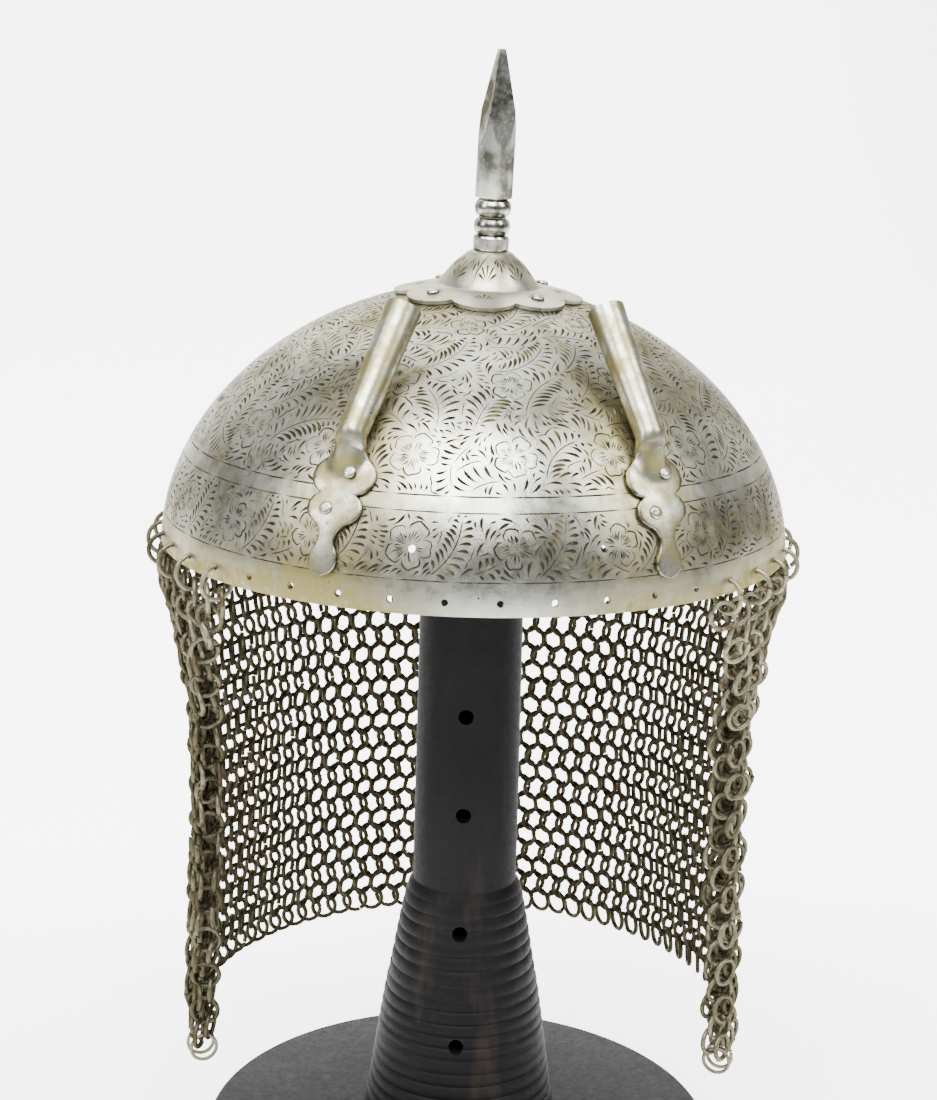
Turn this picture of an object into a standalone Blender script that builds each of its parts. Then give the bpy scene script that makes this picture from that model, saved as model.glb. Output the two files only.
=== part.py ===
"""Kulah khud: a steel skull with finial, two plume holders and a mail curtain, on its turned stand.

Everything is in metres, +Z up. The origin is the middle of the stand's underside and the helmet's
front faces -Y. An azimuth is an angle in degrees about the axis, from the front towards +X.
"""
import math

import bmesh
import bpy
from mathutils import Matrix, Vector

# Clearances
GAP = 0.0003
CROWN_GAP = 0.0006
RING_PLAY = 0.0004
RIVET_TAIL_GAP = 0.0012

# Skull
SKULL_RADIUS = 0.100
SKULL_HEIGHT = 0.082
SKULL_FULLNESS = 1.9
SKULL_WALL = 0.0015
SKULL_ROWS = (13, 26, 39, 52, 65, 78, 90)
RIM_HOLES = 40
RIM_HOLE_HEIGHT = 0.0039
RIM_FIRST_AZIMUTH = -1.5
NASAL_HOLE_RADIUS = 0.0012
NASAL_HOLE_HEIGHT = 0.0183
NASAL_HOLE_AZIMUTH = 16.4

# Finial
FINIAL_OFFSET_X = 0.0023
FINIAL_OFFSET_Y = -0.0031
FLANGE_SHEET = 0.0012
FLANGE_LOBES = 8
FLANGE_LOBE_RADIUS = 0.0298
FLANGE_CUSP_RADIUS = 0.0255
FLANGE_AZIMUTH = -9.5
BOSS_RADIUS = 0.0163
BOSS_HEIGHT = 0.0108
TANG_RADIUS = 0.0024
TANG_LENGTH = 0.006
COLLAR_RADIUS = 0.0056
COLLAR_HEIGHT = 0.0042
BEAD_RADIUS = 0.0057
BEAD_HEIGHT = 0.0057
BEAD_COUNT = 2
NECK_RADIUS = 0.0048
SPIKE_RADIUS = 0.0058
SPIKE_LENGTH = 0.0452
SPIKE_ROUND_LENGTH = 0.0162
SPIKE_TIP_RADIUS = 0.0010
SPIKE_FACETS = 4
SPIKE_FACET_AZIMUTH = 8.0
# Share of the boss radius, share of the boss height
BOSS_PROFILE = ((0.35, 1.0), (0.49, 0.85), (0.67, 0.62), (0.81, 0.36), (0.93, 0.12))

# Plume holders
PLATE_SHEET = 0.0012
PLATE_HALF_WIDTH = 0.0098
PLATE_FOOT_HEIGHT = 0.0085
HOLDER_SEAT_HEIGHT = 0.0415
PLATE_UNDER_TUBE = 0.005
TUBE_LENGTH = 0.0455
TUBE_SEAT_RADIUS = 0.0043
TUBE_MOUTH_RADIUS = 0.0055
TUBE_WALL = 0.0010
TUBE_SINK = 0.0007
# Share of the way up the plate, share of the plate's half-width
PLATE_OUTLINE = (
    (0.00, 0.10), (0.05, 0.33), (0.11, 0.50), (0.17, 0.45), (0.24, 0.285), (0.30, 0.33),
    (0.37, 0.70), (0.44, 0.86), (0.52, 0.85), (0.58, 0.74), (0.64, 0.92), (0.70, 1.00),
    (0.77, 0.88), (0.82, 0.60), (0.88, 0.49), (1.00, 0.44),
)
# Name, azimuth, lean of the tube towards +X, sideways place of the rivets
HOLDERS = (
    ("left", -30.4, 4.0, 0.0022),
    ("right", 29.2, 3.0, 0.0030),
)
# Share of the way up the plate, side of the plate's middle line
PLATE_RIVETS = ((0.72, 1), (0.47, -1))

# Rivets
RIVET_RADIUS = 0.0010
RIVET_HEAD_RADIUS = 0.0020
RIVET_HEAD_HEIGHT = 0.0008
FLANGE_RIVETS = 4
FLANGE_RIVET_RADIUS = 0.0225

# Hanging rings
HANGING_RING_RADIUS = 0.0052
HANGING_WIRE_RADIUS = 0.00065
FIRST_RINGED_HOLE = 5
RINGED_HOLES = 30

# Mail curtain
MAIL_THICKNESS = 0.0035
MAIL_TOP_DROP = 0.0028
MAIL_LENGTH = 0.1622
MAIL_EDGE_MARGIN = 2.5
MAIL_GATHER = 19.0
MAIL_BUNDLE_RADIUS = 0.0055
MAIL_COLUMNS = 24
# Share of the way down, share of the top radius, share of the gather, share of the bundle
MAIL_DRAPE = (
    (0.00, 1.000, 0.00, 0.00), (0.05, 1.000, 0.12, 0.00), (0.12, 0.965, 0.42, 0.60),
    (0.18, 0.945, 0.58, 0.85), (0.30, 0.905, 0.82, 1.00), (0.54, 0.887, 1.00, 1.00),
    (0.92, 0.902, 1.00, 0.75), (0.96, 0.904, 1.00, 0.00), (1.00, 0.906, 1.00, 0.00),
)
# Share of the bundle's width
MAIL_BUNDLE_COLUMNS = (0.0, 0.15, 0.5, 0.85)
TAIL_RING_RADIUS = 0.0042
TAIL_WIRE_RADIUS = 0.0006
TAIL_HOLE_RISE = 0.003
TAIL_RINGS = 2
TAIL_RING_PITCH = 2.8

# Stand
RIM_ABOVE_GROUND = 0.218
BASE_RADIUS = 0.0856
BASE_THICKNESS = 0.012
BASE_EDGE_ROUND = 0.0012
COLUMN_TOP_RADIUS = 0.0163
COLUMN_LOW_RADIUS = 0.0173
FLARE_HEIGHT = 0.089
FLARE_FOOT_RADIUS = 0.0338
TENON_RADIUS = 0.012
TENON_LENGTH = 0.008
PEG_HOLE_RADIUS = 0.0025
PEG_HOLE_DEPTH = 0.012
PEG_HOLE_AZIMUTH = -9.0
PEG_HOLE_DROPS = (0.056, 0.0896, 0.1293, 0.1664)
# Share of the flare's height, share of its spread
FLARE_PROFILE = ((0.18, 0.83), (0.53, 0.55), (0.67, 0.41), (0.81, 0.28), (0.955, 0.12))

# Fineness of the round pieces
HOLE_SIDES = 6
MAIL_HOLE_SIDES = 4
PEG_HOLE_SIDES = 8
WIRE_SIDES = 5
RING_SIDES = 10
RIVET_SIDES = 6
SPIKE_SIDES = 16
FLANGE_STEPS_PER_LOBE = 4
TUBE_SIDES = 12
COLUMN_SIDES = 16
BASE_SIDES = 30

# Base colour, metallic, roughness
STEEL = ((0.62, 0.60, 0.55), 1.0, 0.38)
WORN_STEEL = ((0.50, 0.46, 0.38), 1.0, 0.42)
RUSTY_STEEL = ((0.16, 0.13, 0.09), 0.9, 0.60)
BLACK_WOOD = ((0.012, 0.011, 0.012), 0.0, 0.45)


def clear_scene():
    """Removes whatever the scene holds."""
    for item in list(bpy.data.objects):
        bpy.data.objects.remove(item, do_unlink=True)


def material(name, finish):
    """Gives a plain Principled material."""
    colour, metallic, roughness = finish
    made = bpy.data.materials.new(name)
    made.use_nodes = True
    shader = made.node_tree.nodes["Principled BSDF"]
    shader.inputs["Base Color"].default_value = (*colour, 1.0)
    shader.inputs["Metallic"].default_value = metallic
    shader.inputs["Roughness"].default_value = roughness
    return made


def add_object(name, body, finish, sharp_degrees=35):
    """Turns a bmesh into a named object with its own material."""
    bmesh.ops.recalc_face_normals(body, faces=body.faces)
    mesh = bpy.data.meshes.new(name)
    body.to_mesh(mesh)
    body.free()
    mesh.shade_smooth()
    mesh.set_sharp_from_angle(angle=math.radians(sharp_degrees))
    mesh.materials.append(material(name, finish))
    made = bpy.data.objects.new(name, mesh)
    bpy.context.scene.collection.objects.link(made)
    return made


def skin(body, rings, loop=False):
    """Covers a run of rings with faces; a ring of one point is a pole, and a loop closes on itself."""
    made = [[body.verts.new(point) for point in ring] for ring in rings]
    pairs = list(zip(made, made[1:]))
    if loop:
        pairs.append((made[-1], made[0]))
    for first, second in pairs:
        count = max(len(first), len(second))
        for i in range(count):
            j = (i + 1) % count
            corners = [first[i % len(first)], first[j % len(first)]]
            corners += [second[j % len(second)], second[i % len(second)]]
            unique = list(dict.fromkeys(corners))
            body.faces.new(unique)
    if not loop:
        for end in (made[0], made[-1]):
            if len(end) > 1:
                body.faces.new(end)


def sheet(body, outer, inner):
    """Closes the space between two grids of points of the same size."""
    sides = [[[body.verts.new(point) for point in row] for row in grid] for grid in (outer, inner)]
    rows = len(outer)
    columns = len(outer[0])
    for side in sides:
        for i in range(rows - 1):
            for j in range(columns - 1):
                body.faces.new((side[i][j], side[i][j + 1], side[i + 1][j + 1], side[i + 1][j]))
    top, bottom = sides
    for i in (0, rows - 1):
        for j in range(columns - 1):
            body.faces.new((top[i][j], top[i][j + 1], bottom[i][j + 1], bottom[i][j]))
    for j in (0, columns - 1):
        for i in range(rows - 1):
            body.faces.new((top[i][j], top[i + 1][j], bottom[i + 1][j], bottom[i][j]))


def place(radius, azimuth, height):
    """Point at a radius and an azimuth in degrees."""
    angle = math.radians(azimuth)
    return Vector((radius * math.sin(angle), -radius * math.cos(angle), height))


def circle(radius, height, sides, start=0.0):
    """Ring of points about the axis."""
    return [place(radius, start + 360 * i / sides, height) for i in range(sides)]


def moved(rings, frame):
    """Rings carried into a frame."""
    return [[frame @ point for point in ring] for ring in rings]


def skull_height(radius, inset=0.0):
    """Height of the skull above its rim at a radius; the inset gives the inner face."""
    share = min(1.0, radius / (SKULL_RADIUS - inset))
    return (SKULL_HEIGHT - inset) * (1 - share**SKULL_FULLNESS) ** (1 / SKULL_FULLNESS)


def skull_radius(height):
    """Outer radius of the skull at a height above its rim."""
    share = max(0.0, min(1.0, height / SKULL_HEIGHT))
    return SKULL_RADIUS * (1 - share**SKULL_FULLNESS) ** (1 / SKULL_FULLNESS)


def skull_seat(azimuth, height):
    """Frame on the skull: X round it, Y up the meridian, Z out of the surface."""
    radius = skull_radius(height)
    power = SKULL_FULLNESS - 1
    out = place((radius / SKULL_RADIUS) ** power / SKULL_RADIUS, azimuth, 0.0)
    out.z = (height / SKULL_HEIGHT) ** power / SKULL_HEIGHT
    out.normalize()
    around = place(1.0, azimuth + 90, 0.0)
    up = out.cross(around)
    origin = place(radius, azimuth, RIM_ABOVE_GROUND + height)
    return Matrix.Translation(origin) @ Matrix((around, up, out)).transposed().to_4x4()


def skull_seat_under(x, y):
    """Frame on the skull under a point of its plan."""
    return skull_seat(math.degrees(math.atan2(x, -y)), skull_height(math.hypot(x, y)))


def finial_frame():
    """Frame of the finial: its origin on the skull, Z out of the surface, X and Y near the world's."""
    seat = skull_seat_under(FINIAL_OFFSET_X, FINIAL_OFFSET_Y)
    turn = Vector((0, 0, 1)).rotation_difference(seat.col[2].to_3d())
    return Matrix.Translation(seat.translation) @ turn.to_matrix().to_4x4()


def cutter(name, rods, sides=HOLE_SIDES):
    """One hidden mesh of rods, each given by its two ends and its radius."""
    body = bmesh.new()
    for start, end, radius in rods:
        turn = Vector((0, 0, 1)).rotation_difference(end - start).to_matrix().to_4x4()
        frame = Matrix.Translation(start) @ turn
        length = (end - start).length
        rings = [circle(radius, height, sides) for height in (0.0, length)]
        skin(body, moved(rings, frame))
    made = add_object(name, body, STEEL)
    made.hide_render = True
    made.display_type = "WIRE"
    return made


def combine(target, tool, operation):
    """Adds an exact Boolean."""
    step = target.modifiers.new(f"{operation.lower()} {tool.name}", "BOOLEAN")
    step.operation = operation
    step.solver = "EXACT"
    step.object = tool


def rim_hole_azimuth(index):
    """Azimuth of a rim hole, counted from the front."""
    return RIM_FIRST_AZIMUTH + index * 360 / RIM_HOLES


def ringed_azimuths():
    """Azimuths of the rim holes that hold a ring."""
    return [rim_hole_azimuth(FIRST_RINGED_HOLE + i) for i in range(RINGED_HOLES)]


def hanging_ring_centre_radius():
    """Radius of the hanging rings' centres: the middle of the skull's wall between two of its corners."""
    wall_middle = skull_radius(RIM_HOLE_HEIGHT) - SKULL_WALL / 2
    return wall_middle * math.cos(math.pi / RIM_HOLES)


def flat_distance(ring_radius):
    """Distance from a many-sided ring's centre to the middle of a side."""
    return ring_radius * math.cos(math.pi / RING_SIDES)


def hanging_ring_centre_height():
    """Height of the hanging rings' centres, whose top side lies in the rim hole."""
    return RIM_ABOVE_GROUND + RIM_HOLE_HEIGHT - flat_distance(HANGING_RING_RADIUS)


def passage_radius(ring_radius, wire_radius, wall):
    """Corner radius of a mail hole that a ring's curve clears as it goes through the wall."""
    bow = ring_radius - math.sqrt(ring_radius**2 - (wall / 2) ** 2)
    return (wire_radius + bow + RING_PLAY) / math.cos(math.pi / MAIL_HOLE_SIDES)


def rivet_seats():
    """Frames of the rivets on the skull, by name."""
    seats = {}
    for side, azimuth, lean, offset in HOLDERS:
        for number, (share, sign) in enumerate(PLATE_RIVETS, 1):
            height = plate_height(share)
            middle = plate_azimuth(azimuth, lean, height)
            turn = math.degrees(sign * offset / skull_radius(height))
            seats[f"holder_rivet_{side}_{number}"] = skull_seat(middle + turn, height)
    frame = finial_frame()
    for i in range(FLANGE_RIVETS):
        turn = FLANGE_AZIMUTH + (i + 0.5) * 360 / FLANGE_RIVETS
        point = frame @ place(FLANGE_RIVET_RADIUS, turn, 0.0)
        seats[f"finial_rivet_{i + 1}"] = skull_seat_under(point.x, point.y)
    return seats


def rivet_rods(seats):
    """Rods that clear the rivets' shanks."""
    reach = 4 * (SKULL_WALL + PLATE_SHEET)
    rods = []
    for seat in seats:
        start = seat @ Vector((0, 0, -reach))
        end = seat @ Vector((0, 0, reach))
        rods.append((start, end, RIVET_RADIUS + RING_PLAY))
    return rods


def make_skull():
    """Bowl with its rim holes, the two nasal holes and the rivet holes."""
    start = RIM_FIRST_AZIMUTH + 180 / RIM_HOLES
    rings = []
    for inset, rows in ((0.0, SKULL_ROWS), (SKULL_WALL, SKULL_ROWS[::-1])):
        face = []
        for row in rows:
            radius = (SKULL_RADIUS - inset) * math.sin(math.radians(row)) ** (2 / SKULL_FULLNESS)
            height = skull_height(radius, inset) if row < 90 else 0.0
            face.append(circle(radius, RIM_ABOVE_GROUND + height, RIM_HOLES, start))
        crown = [Vector((0, 0, RIM_ABOVE_GROUND + SKULL_HEIGHT - inset))]
        rings += [crown, *face] if inset == 0.0 else [*face, crown]
    body = bmesh.new()
    skin(body, rings)
    skull = add_object("skull", body, STEEL)
    reach = 4 * SKULL_WALL
    holes = []
    for index in range(RIM_HOLES):
        holes.append((rim_hole_azimuth(index), RIM_HOLE_HEIGHT, HANGING_WIRE_RADIUS + RING_PLAY))
    for azimuth in (-NASAL_HOLE_AZIMUTH, NASAL_HOLE_AZIMUTH):
        holes.append((azimuth, NASAL_HOLE_HEIGHT, NASAL_HOLE_RADIUS))
    rods = []
    for azimuth, height, radius in holes:
        middle = skull_radius(height)
        level = RIM_ABOVE_GROUND + height
        rods.append((place(middle - reach, azimuth, level), place(middle + reach, azimuth, level), radius))
    rods += rivet_rods(rivet_seats().values())
    combine(skull, cutter("skull_holes", rods), "DIFFERENCE")


def flange_radius(turn):
    """Radius of the scalloped flange at a turn from one of its cusps."""
    wave = abs(math.sin(math.radians(turn) * FLANGE_LOBES / 2))
    return FLANGE_CUSP_RADIUS + (FLANGE_LOBE_RADIUS - FLANGE_CUSP_RADIUS) * wave**0.7


def make_finial_base():
    """Boss and scalloped flange, raised from one sheet that lies on the skull."""
    frame = finial_frame()
    sides = FLANGE_LOBES * FLANGE_STEPS_PER_LOBE
    turns = [360 * i / sides for i in range(sides)]
    cusp = FLANGE_AZIMUTH - 180 / FLANGE_LOBES

    def on_skull(share, lift):
        """Ring on the skull between the boss's foot and the flange's edge."""
        ring = []
        for turn in turns:
            radius = BOSS_RADIUS + share * (flange_radius(turn) - BOSS_RADIUS)
            point = frame @ place(radius, cusp + turn, 0.0)
            point.z = RIM_ABOVE_GROUND + skull_height(math.hypot(point.x, point.y)) + lift
            ring.append(point)
        return ring

    def on_boss(radius, height):
        """Ring about the finial's axis."""
        return [frame @ place(radius, cusp + turn, height) for turn in turns]

    bore = TANG_RADIUS + GAP
    over = GAP + FLANGE_SHEET
    rings = [on_boss(bore, BOSS_HEIGHT)]
    rings += [on_boss(r * BOSS_RADIUS, h * BOSS_HEIGHT) for r, h in BOSS_PROFILE]
    rings += [on_skull(share, over) for share in (0.0, 1.0)]
    rings += [on_skull(share, GAP) for share in (1.0, 0.0)]
    hollow = [(r * BOSS_RADIUS - FLANGE_SHEET, h * BOSS_HEIGHT - FLANGE_SHEET) for r, h in BOSS_PROFILE]
    rings += [on_boss(radius, height) for radius, height in reversed(hollow[1:-1])]
    rings.append(on_boss(bore, BOSS_HEIGHT - FLANGE_SHEET))
    body = bmesh.new()
    skin(body, rings, loop=True)
    base = add_object("finial_base", body, STEEL)
    seats = rivet_seats()
    rods = rivet_rods(seat for name, seat in seats.items() if name.startswith("finial"))
    combine(base, cutter("flange_holes", rods), "DIFFERENCE")


def facet_radius(turn, rise):
    """Radius of the spike at a turn from the middle of a facet, above its round stretch."""
    slope = (SPIKE_RADIUS - SPIKE_TIP_RADIUS) / (SPIKE_LENGTH - SPIKE_ROUND_LENGTH)
    flat = SPIKE_RADIUS - slope * rise
    wedge = 360 / SPIKE_FACETS
    off = (turn + wedge / 2) % wedge - wedge / 2
    return min(SPIKE_RADIUS, flat / math.cos(math.radians(off)))


def make_finial_spike():
    """Spike with its facets, beads, collar and the tang that goes down into the boss."""
    frame = finial_frame()
    foot = BOSS_HEIGHT + GAP
    outline = [(TANG_RADIUS, foot - TANG_LENGTH), (TANG_RADIUS, foot), (COLLAR_RADIUS, foot)]
    level = foot + COLLAR_HEIGHT
    outline += [(COLLAR_RADIUS, level), (NECK_RADIUS, level + GAP)]
    for _ in range(BEAD_COUNT):
        for share, radius in ((0.15, 0.93 * BEAD_RADIUS), (0.5, BEAD_RADIUS), (0.85, 0.93 * BEAD_RADIUS)):
            outline.append((radius, level + share * BEAD_HEIGHT))
        level += BEAD_HEIGHT
        outline.append((NECK_RADIUS, level))
    outline.append((NECK_RADIUS, level + GAP))
    level += GAP
    rings = [circle(radius, height, SPIKE_SIDES, SPIKE_FACET_AZIMUTH) for radius, height in outline]
    rings.append(circle(SPIKE_RADIUS, level, SPIKE_SIDES, SPIKE_FACET_AZIMUTH))
    faceted = SPIKE_LENGTH - SPIKE_ROUND_LENGTH
    for share in (0.0, 0.13, 0.25, 0.38, 1.0):
        ring = []
        for i in range(SPIKE_SIDES):
            turn = 360 * i / SPIKE_SIDES
            radius = facet_radius(turn, share * faceted)
            height = level + SPIKE_ROUND_LENGTH + share * faceted
            ring.append(place(radius, SPIKE_FACET_AZIMUTH + turn, height))
        rings.append(ring)
    body = bmesh.new()
    skin(body, moved(rings, frame))
    add_object("finial_spike", body, STEEL)


def plate_height(share):
    """Height on the skull at a share of the way up a holder's plate."""
    top = HOLDER_SEAT_HEIGHT + PLATE_UNDER_TUBE
    return PLATE_FOOT_HEIGHT + share * (top - PLATE_FOOT_HEIGHT)


def plate_azimuth(azimuth, lean, height):
    """Azimuth of a leaning plate's middle line at a height."""
    shift = (height - HOLDER_SEAT_HEIGHT) * math.tan(math.radians(lean))
    return azimuth + math.degrees(shift / SKULL_RADIUS)


def holder_plate(azimuth, lean):
    """Lobed plate that lies on the skull."""
    faces = ([], [])
    for share, width in PLATE_OUTLINE:
        height = plate_height(share)
        middle = plate_azimuth(azimuth, lean, height)
        for face, lift in zip(faces, (GAP + PLATE_SHEET, GAP)):
            row = []
            for side in (-1.0, -0.5, 0.0, 0.5, 1.0):
                turn = math.degrees(side * width * PLATE_HALF_WIDTH / skull_radius(height))
                row.append(skull_seat(middle + turn, height) @ Vector((0, 0, lift)))
            face.append(row)
    return faces


def holder_tube_frame(azimuth, lean):
    """Frame of a holder's tube: its foot rests in the plate, Z along the tube."""
    seat = skull_seat(azimuth, HOLDER_SEAT_HEIGHT)
    lift = GAP + PLATE_SHEET + TUBE_SEAT_RADIUS - TUBE_SINK
    tilt = Matrix.Rotation(math.radians(lean), 4, "Z").inverted()
    along = Matrix.Rotation(math.radians(-90), 4, "X")
    return seat @ Matrix.Translation((0, 0, lift)) @ tilt @ along


def make_plume_holder(side, azimuth, lean):
    """Rolled tube for a plume, in one with the lobed plate that is riveted to the skull."""
    body = bmesh.new()
    sheet(body, *holder_plate(azimuth, lean))
    holder = add_object(f"plume_holder_{side}", body, WORN_STEEL)
    outline = (
        (TUBE_SEAT_RADIUS, 0.0), (TUBE_MOUTH_RADIUS, TUBE_LENGTH),
        (TUBE_MOUTH_RADIUS - TUBE_WALL, TUBE_LENGTH), (TUBE_SEAT_RADIUS - TUBE_WALL, 0.0),
    )
    rings = [circle(radius, height, TUBE_SIDES) for radius, height in outline]
    tube_body = bmesh.new()
    skin(tube_body, moved(rings, holder_tube_frame(azimuth, lean)), loop=True)
    tube = add_object(f"tube_{side}", tube_body, WORN_STEEL)
    tube.hide_render = True
    tube.display_type = "WIRE"
    combine(holder, tube, "UNION")
    seats = rivet_seats()
    rods = rivet_rods(seat for name, seat in seats.items() if f"holder_rivet_{side}" in name)
    combine(holder, cutter(f"plate_holes_{side}", rods), "DIFFERENCE")


def make_rivet(name, seat):
    """Rivet with a domed head outside and a small upset end inside."""
    head = 2 * GAP + PLATE_SHEET
    tail = -SKULL_WALL - RIVET_TAIL_GAP
    end_radius = 0.8 * RIVET_HEAD_RADIUS
    outline = (
        (end_radius, tail - 0.7 * RIVET_HEAD_HEIGHT), (end_radius, tail), (RIVET_RADIUS, tail),
        (RIVET_RADIUS, head), (RIVET_HEAD_RADIUS, head),
        (0.8 * RIVET_HEAD_RADIUS, head + 0.65 * RIVET_HEAD_HEIGHT),
    )
    rings = [circle(radius, height, RIVET_SIDES) for radius, height in outline]
    rings.append([Vector((0, 0, head + RIVET_HEAD_HEIGHT))])
    body = bmesh.new()
    skin(body, moved(rings, seat))
    add_object(name, body, STEEL)


def make_upright_ring(name, azimuth, centre_radius, centre_height, ring_radius, wire_radius):
    """Wire ring whose plane holds the axis, with a flat side at its top and its bottom."""
    rings = []
    for i in range(RING_SIDES):
        turn = 2 * math.pi * (i + 0.5) / RING_SIDES
        ring = []
        for j in range(WIRE_SIDES):
            roll = 2 * math.pi * j / WIRE_SIDES
            reach = ring_radius + wire_radius * math.cos(roll)
            radius = centre_radius + reach * math.sin(turn)
            point = place(radius, azimuth, centre_height + reach * math.cos(turn))
            ring.append(point + place(wire_radius * math.sin(roll), azimuth + 90, 0.0))
        rings.append(ring)
    body = bmesh.new()
    skin(body, rings, loop=True)
    add_object(name, body, RUSTY_STEEL, sharp_degrees=80)


def mail_edge_azimuths(gather):
    """Azimuths of the curtain's two front edges, right then left, at a share of the gather."""
    ringed = ringed_azimuths()
    first = ringed[0] - MAIL_EDGE_MARGIN + gather * MAIL_GATHER
    last = ringed[-1] + MAIL_EDGE_MARGIN - gather * MAIL_GATHER
    return first, last


def mail_row(down, size, gather, bundle):
    """Outer and inner points of one level of the curtain, from its right edge round the back."""
    radius = size * hanging_ring_centre_radius()
    first, last = mail_edge_azimuths(gather)
    width = math.degrees(2 * MAIL_BUNDLE_RADIUS / radius)
    edge = [width * share for share in MAIL_BUNDLE_COLUMNS]
    middle = [width + (last - first - 2 * width) * i / MAIL_COLUMNS for i in range(MAIL_COLUMNS + 1)]
    turns = edge + middle + [last - first - turn for turn in reversed(edge)]
    height = RIM_ABOVE_GROUND - MAIL_TOP_DROP - down * MAIL_LENGTH
    outer, inner = [], []
    for turn in turns:
        inside = min(turn, last - first - turn) / width
        swell = math.sqrt(max(0.0, 1 - (2 * inside - 1) ** 2)) if inside < 1 else 0.0
        extra = max(0.0, MAIL_BUNDLE_RADIUS - MAIL_THICKNESS / 2) * bundle * swell
        half = MAIL_THICKNESS / 2 + extra
        outer.append(place(radius + half, first + turn, height))
        inner.append(place(radius - half, first + turn, height))
    return outer, inner


def tail_azimuths():
    """Azimuths of the loose rings under the two front tails."""
    first, last = mail_edge_azimuths(1.0)
    found = []
    for number in range(1, TAIL_RINGS + 1):
        found.append(first + number * TAIL_RING_PITCH)
        found.append(last - number * TAIL_RING_PITCH)
    return found


def make_mail_curtain():
    """Mail as one draped wall, gathered into a bundle along both front edges."""
    rows = [mail_row(*row) for row in MAIL_DRAPE]
    body = bmesh.new()
    sheet(body, [row[0] for row in rows], [row[1] for row in rows])
    mail = add_object("mail_curtain", body, RUSTY_STEEL)
    top_radius = hanging_ring_centre_radius()
    top_level = hanging_ring_centre_height() - flat_distance(HANGING_RING_RADIUS)
    top_hole = passage_radius(HANGING_RING_RADIUS, HANGING_WIRE_RADIUS, MAIL_THICKNESS)
    hem = RIM_ABOVE_GROUND - MAIL_TOP_DROP - MAIL_LENGTH
    tail_hole = passage_radius(TAIL_RING_RADIUS, TAIL_WIRE_RADIUS, MAIL_THICKNESS)
    holes = [(azimuth, top_radius, top_level, top_hole) for azimuth in ringed_azimuths()]
    tail_radius = tail_ring_centre_radius()
    holes += [(azimuth, tail_radius, hem + TAIL_HOLE_RISE, tail_hole) for azimuth in tail_azimuths()]
    rods = []
    for azimuth, radius, height, hole in holes:
        ends = (place(radius - reach, azimuth, height) for reach in (MAIL_THICKNESS, -MAIL_THICKNESS))
        rods.append((*ends, hole))
    combine(mail, cutter("mail_holes", rods, MAIL_HOLE_SIDES), "DIFFERENCE")


def tail_ring_centre_radius():
    """Radius of the tail rings' centres: the middle of the curtain's wall at its hem."""
    return MAIL_DRAPE[-1][1] * hanging_ring_centre_radius()


def make_rings():
    """Rings that hang the mail from the rim, and the loose rings under the tails."""
    centre_radius = hanging_ring_centre_radius()
    centre_height = hanging_ring_centre_height()
    for number, azimuth in enumerate(ringed_azimuths(), 1):
        make_upright_ring(
            f"hanging_ring_{number:02d}", azimuth, centre_radius, centre_height,
            HANGING_RING_RADIUS, HANGING_WIRE_RADIUS,
        )
    hem = RIM_ABOVE_GROUND - MAIL_TOP_DROP - MAIL_LENGTH
    height = hem + TAIL_HOLE_RISE - flat_distance(TAIL_RING_RADIUS)
    for number, azimuth in enumerate(tail_azimuths(), 1):
        make_upright_ring(
            f"tail_ring_{number}", azimuth, tail_ring_centre_radius(), height,
            TAIL_RING_RADIUS, TAIL_WIRE_RADIUS,
        )


def make_stand_column():
    """Turned column, whose hidden top carries the crown and whose tenon stands in the base."""
    foot = BASE_THICKNESS + GAP
    outline = [(TENON_RADIUS, foot - TENON_LENGTH), (TENON_RADIUS, foot), (FLARE_FOOT_RADIUS, foot)]
    spread = FLARE_FOOT_RADIUS - COLUMN_LOW_RADIUS
    for up, out in FLARE_PROFILE:
        outline.append((COLUMN_LOW_RADIUS + out * spread, foot + up * FLARE_HEIGHT))
    outline.append((COLUMN_LOW_RADIUS, foot + FLARE_HEIGHT))
    for share in (1.0, 0.5):
        radius = share * COLUMN_TOP_RADIUS
        level = RIM_ABOVE_GROUND + skull_height(radius, SKULL_WALL) - CROWN_GAP
        outline.append((radius, level))
    rings = [circle(radius, height, COLUMN_SIDES) for radius, height in outline]
    rings.append([Vector((0, 0, RIM_ABOVE_GROUND + SKULL_HEIGHT - SKULL_WALL - CROWN_GAP))])
    body = bmesh.new()
    skin(body, rings)
    column = add_object("stand_column", body, BLACK_WOOD)
    rods = []
    for drop in PEG_HOLE_DROPS:
        height = RIM_ABOVE_GROUND - drop
        start = place(column_radius(height) - PEG_HOLE_DEPTH, PEG_HOLE_AZIMUTH, height)
        rods.append((start, place(2 * FLARE_FOOT_RADIUS, PEG_HOLE_AZIMUTH, height), PEG_HOLE_RADIUS))
    combine(column, cutter("peg_holes", rods, PEG_HOLE_SIDES), "DIFFERENCE")


def column_radius(height):
    """Radius of the column at a height above the ground."""
    foot = BASE_THICKNESS + GAP
    share = (height - foot) / FLARE_HEIGHT
    if share >= 1:
        return COLUMN_LOW_RADIUS
    return COLUMN_LOW_RADIUS + (1 - share) * (FLARE_FOOT_RADIUS - COLUMN_LOW_RADIUS)


def make_stand_base():
    """Round base plate with a blind socket for the column's tenon."""
    socket = TENON_RADIUS + GAP
    depth = BASE_THICKNESS - TENON_LENGTH
    edge = BASE_EDGE_ROUND
    outline = (
        (BASE_RADIUS - edge, 0.0), (BASE_RADIUS, edge), (BASE_RADIUS, BASE_THICKNESS - edge),
        (BASE_RADIUS - edge, BASE_THICKNESS), (socket, BASE_THICKNESS), (socket, depth),
    )
    body = bmesh.new()
    skin(body, [circle(radius, height, BASE_SIDES) for radius, height in outline])
    add_object("stand_base", body, BLACK_WOOD)


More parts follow.
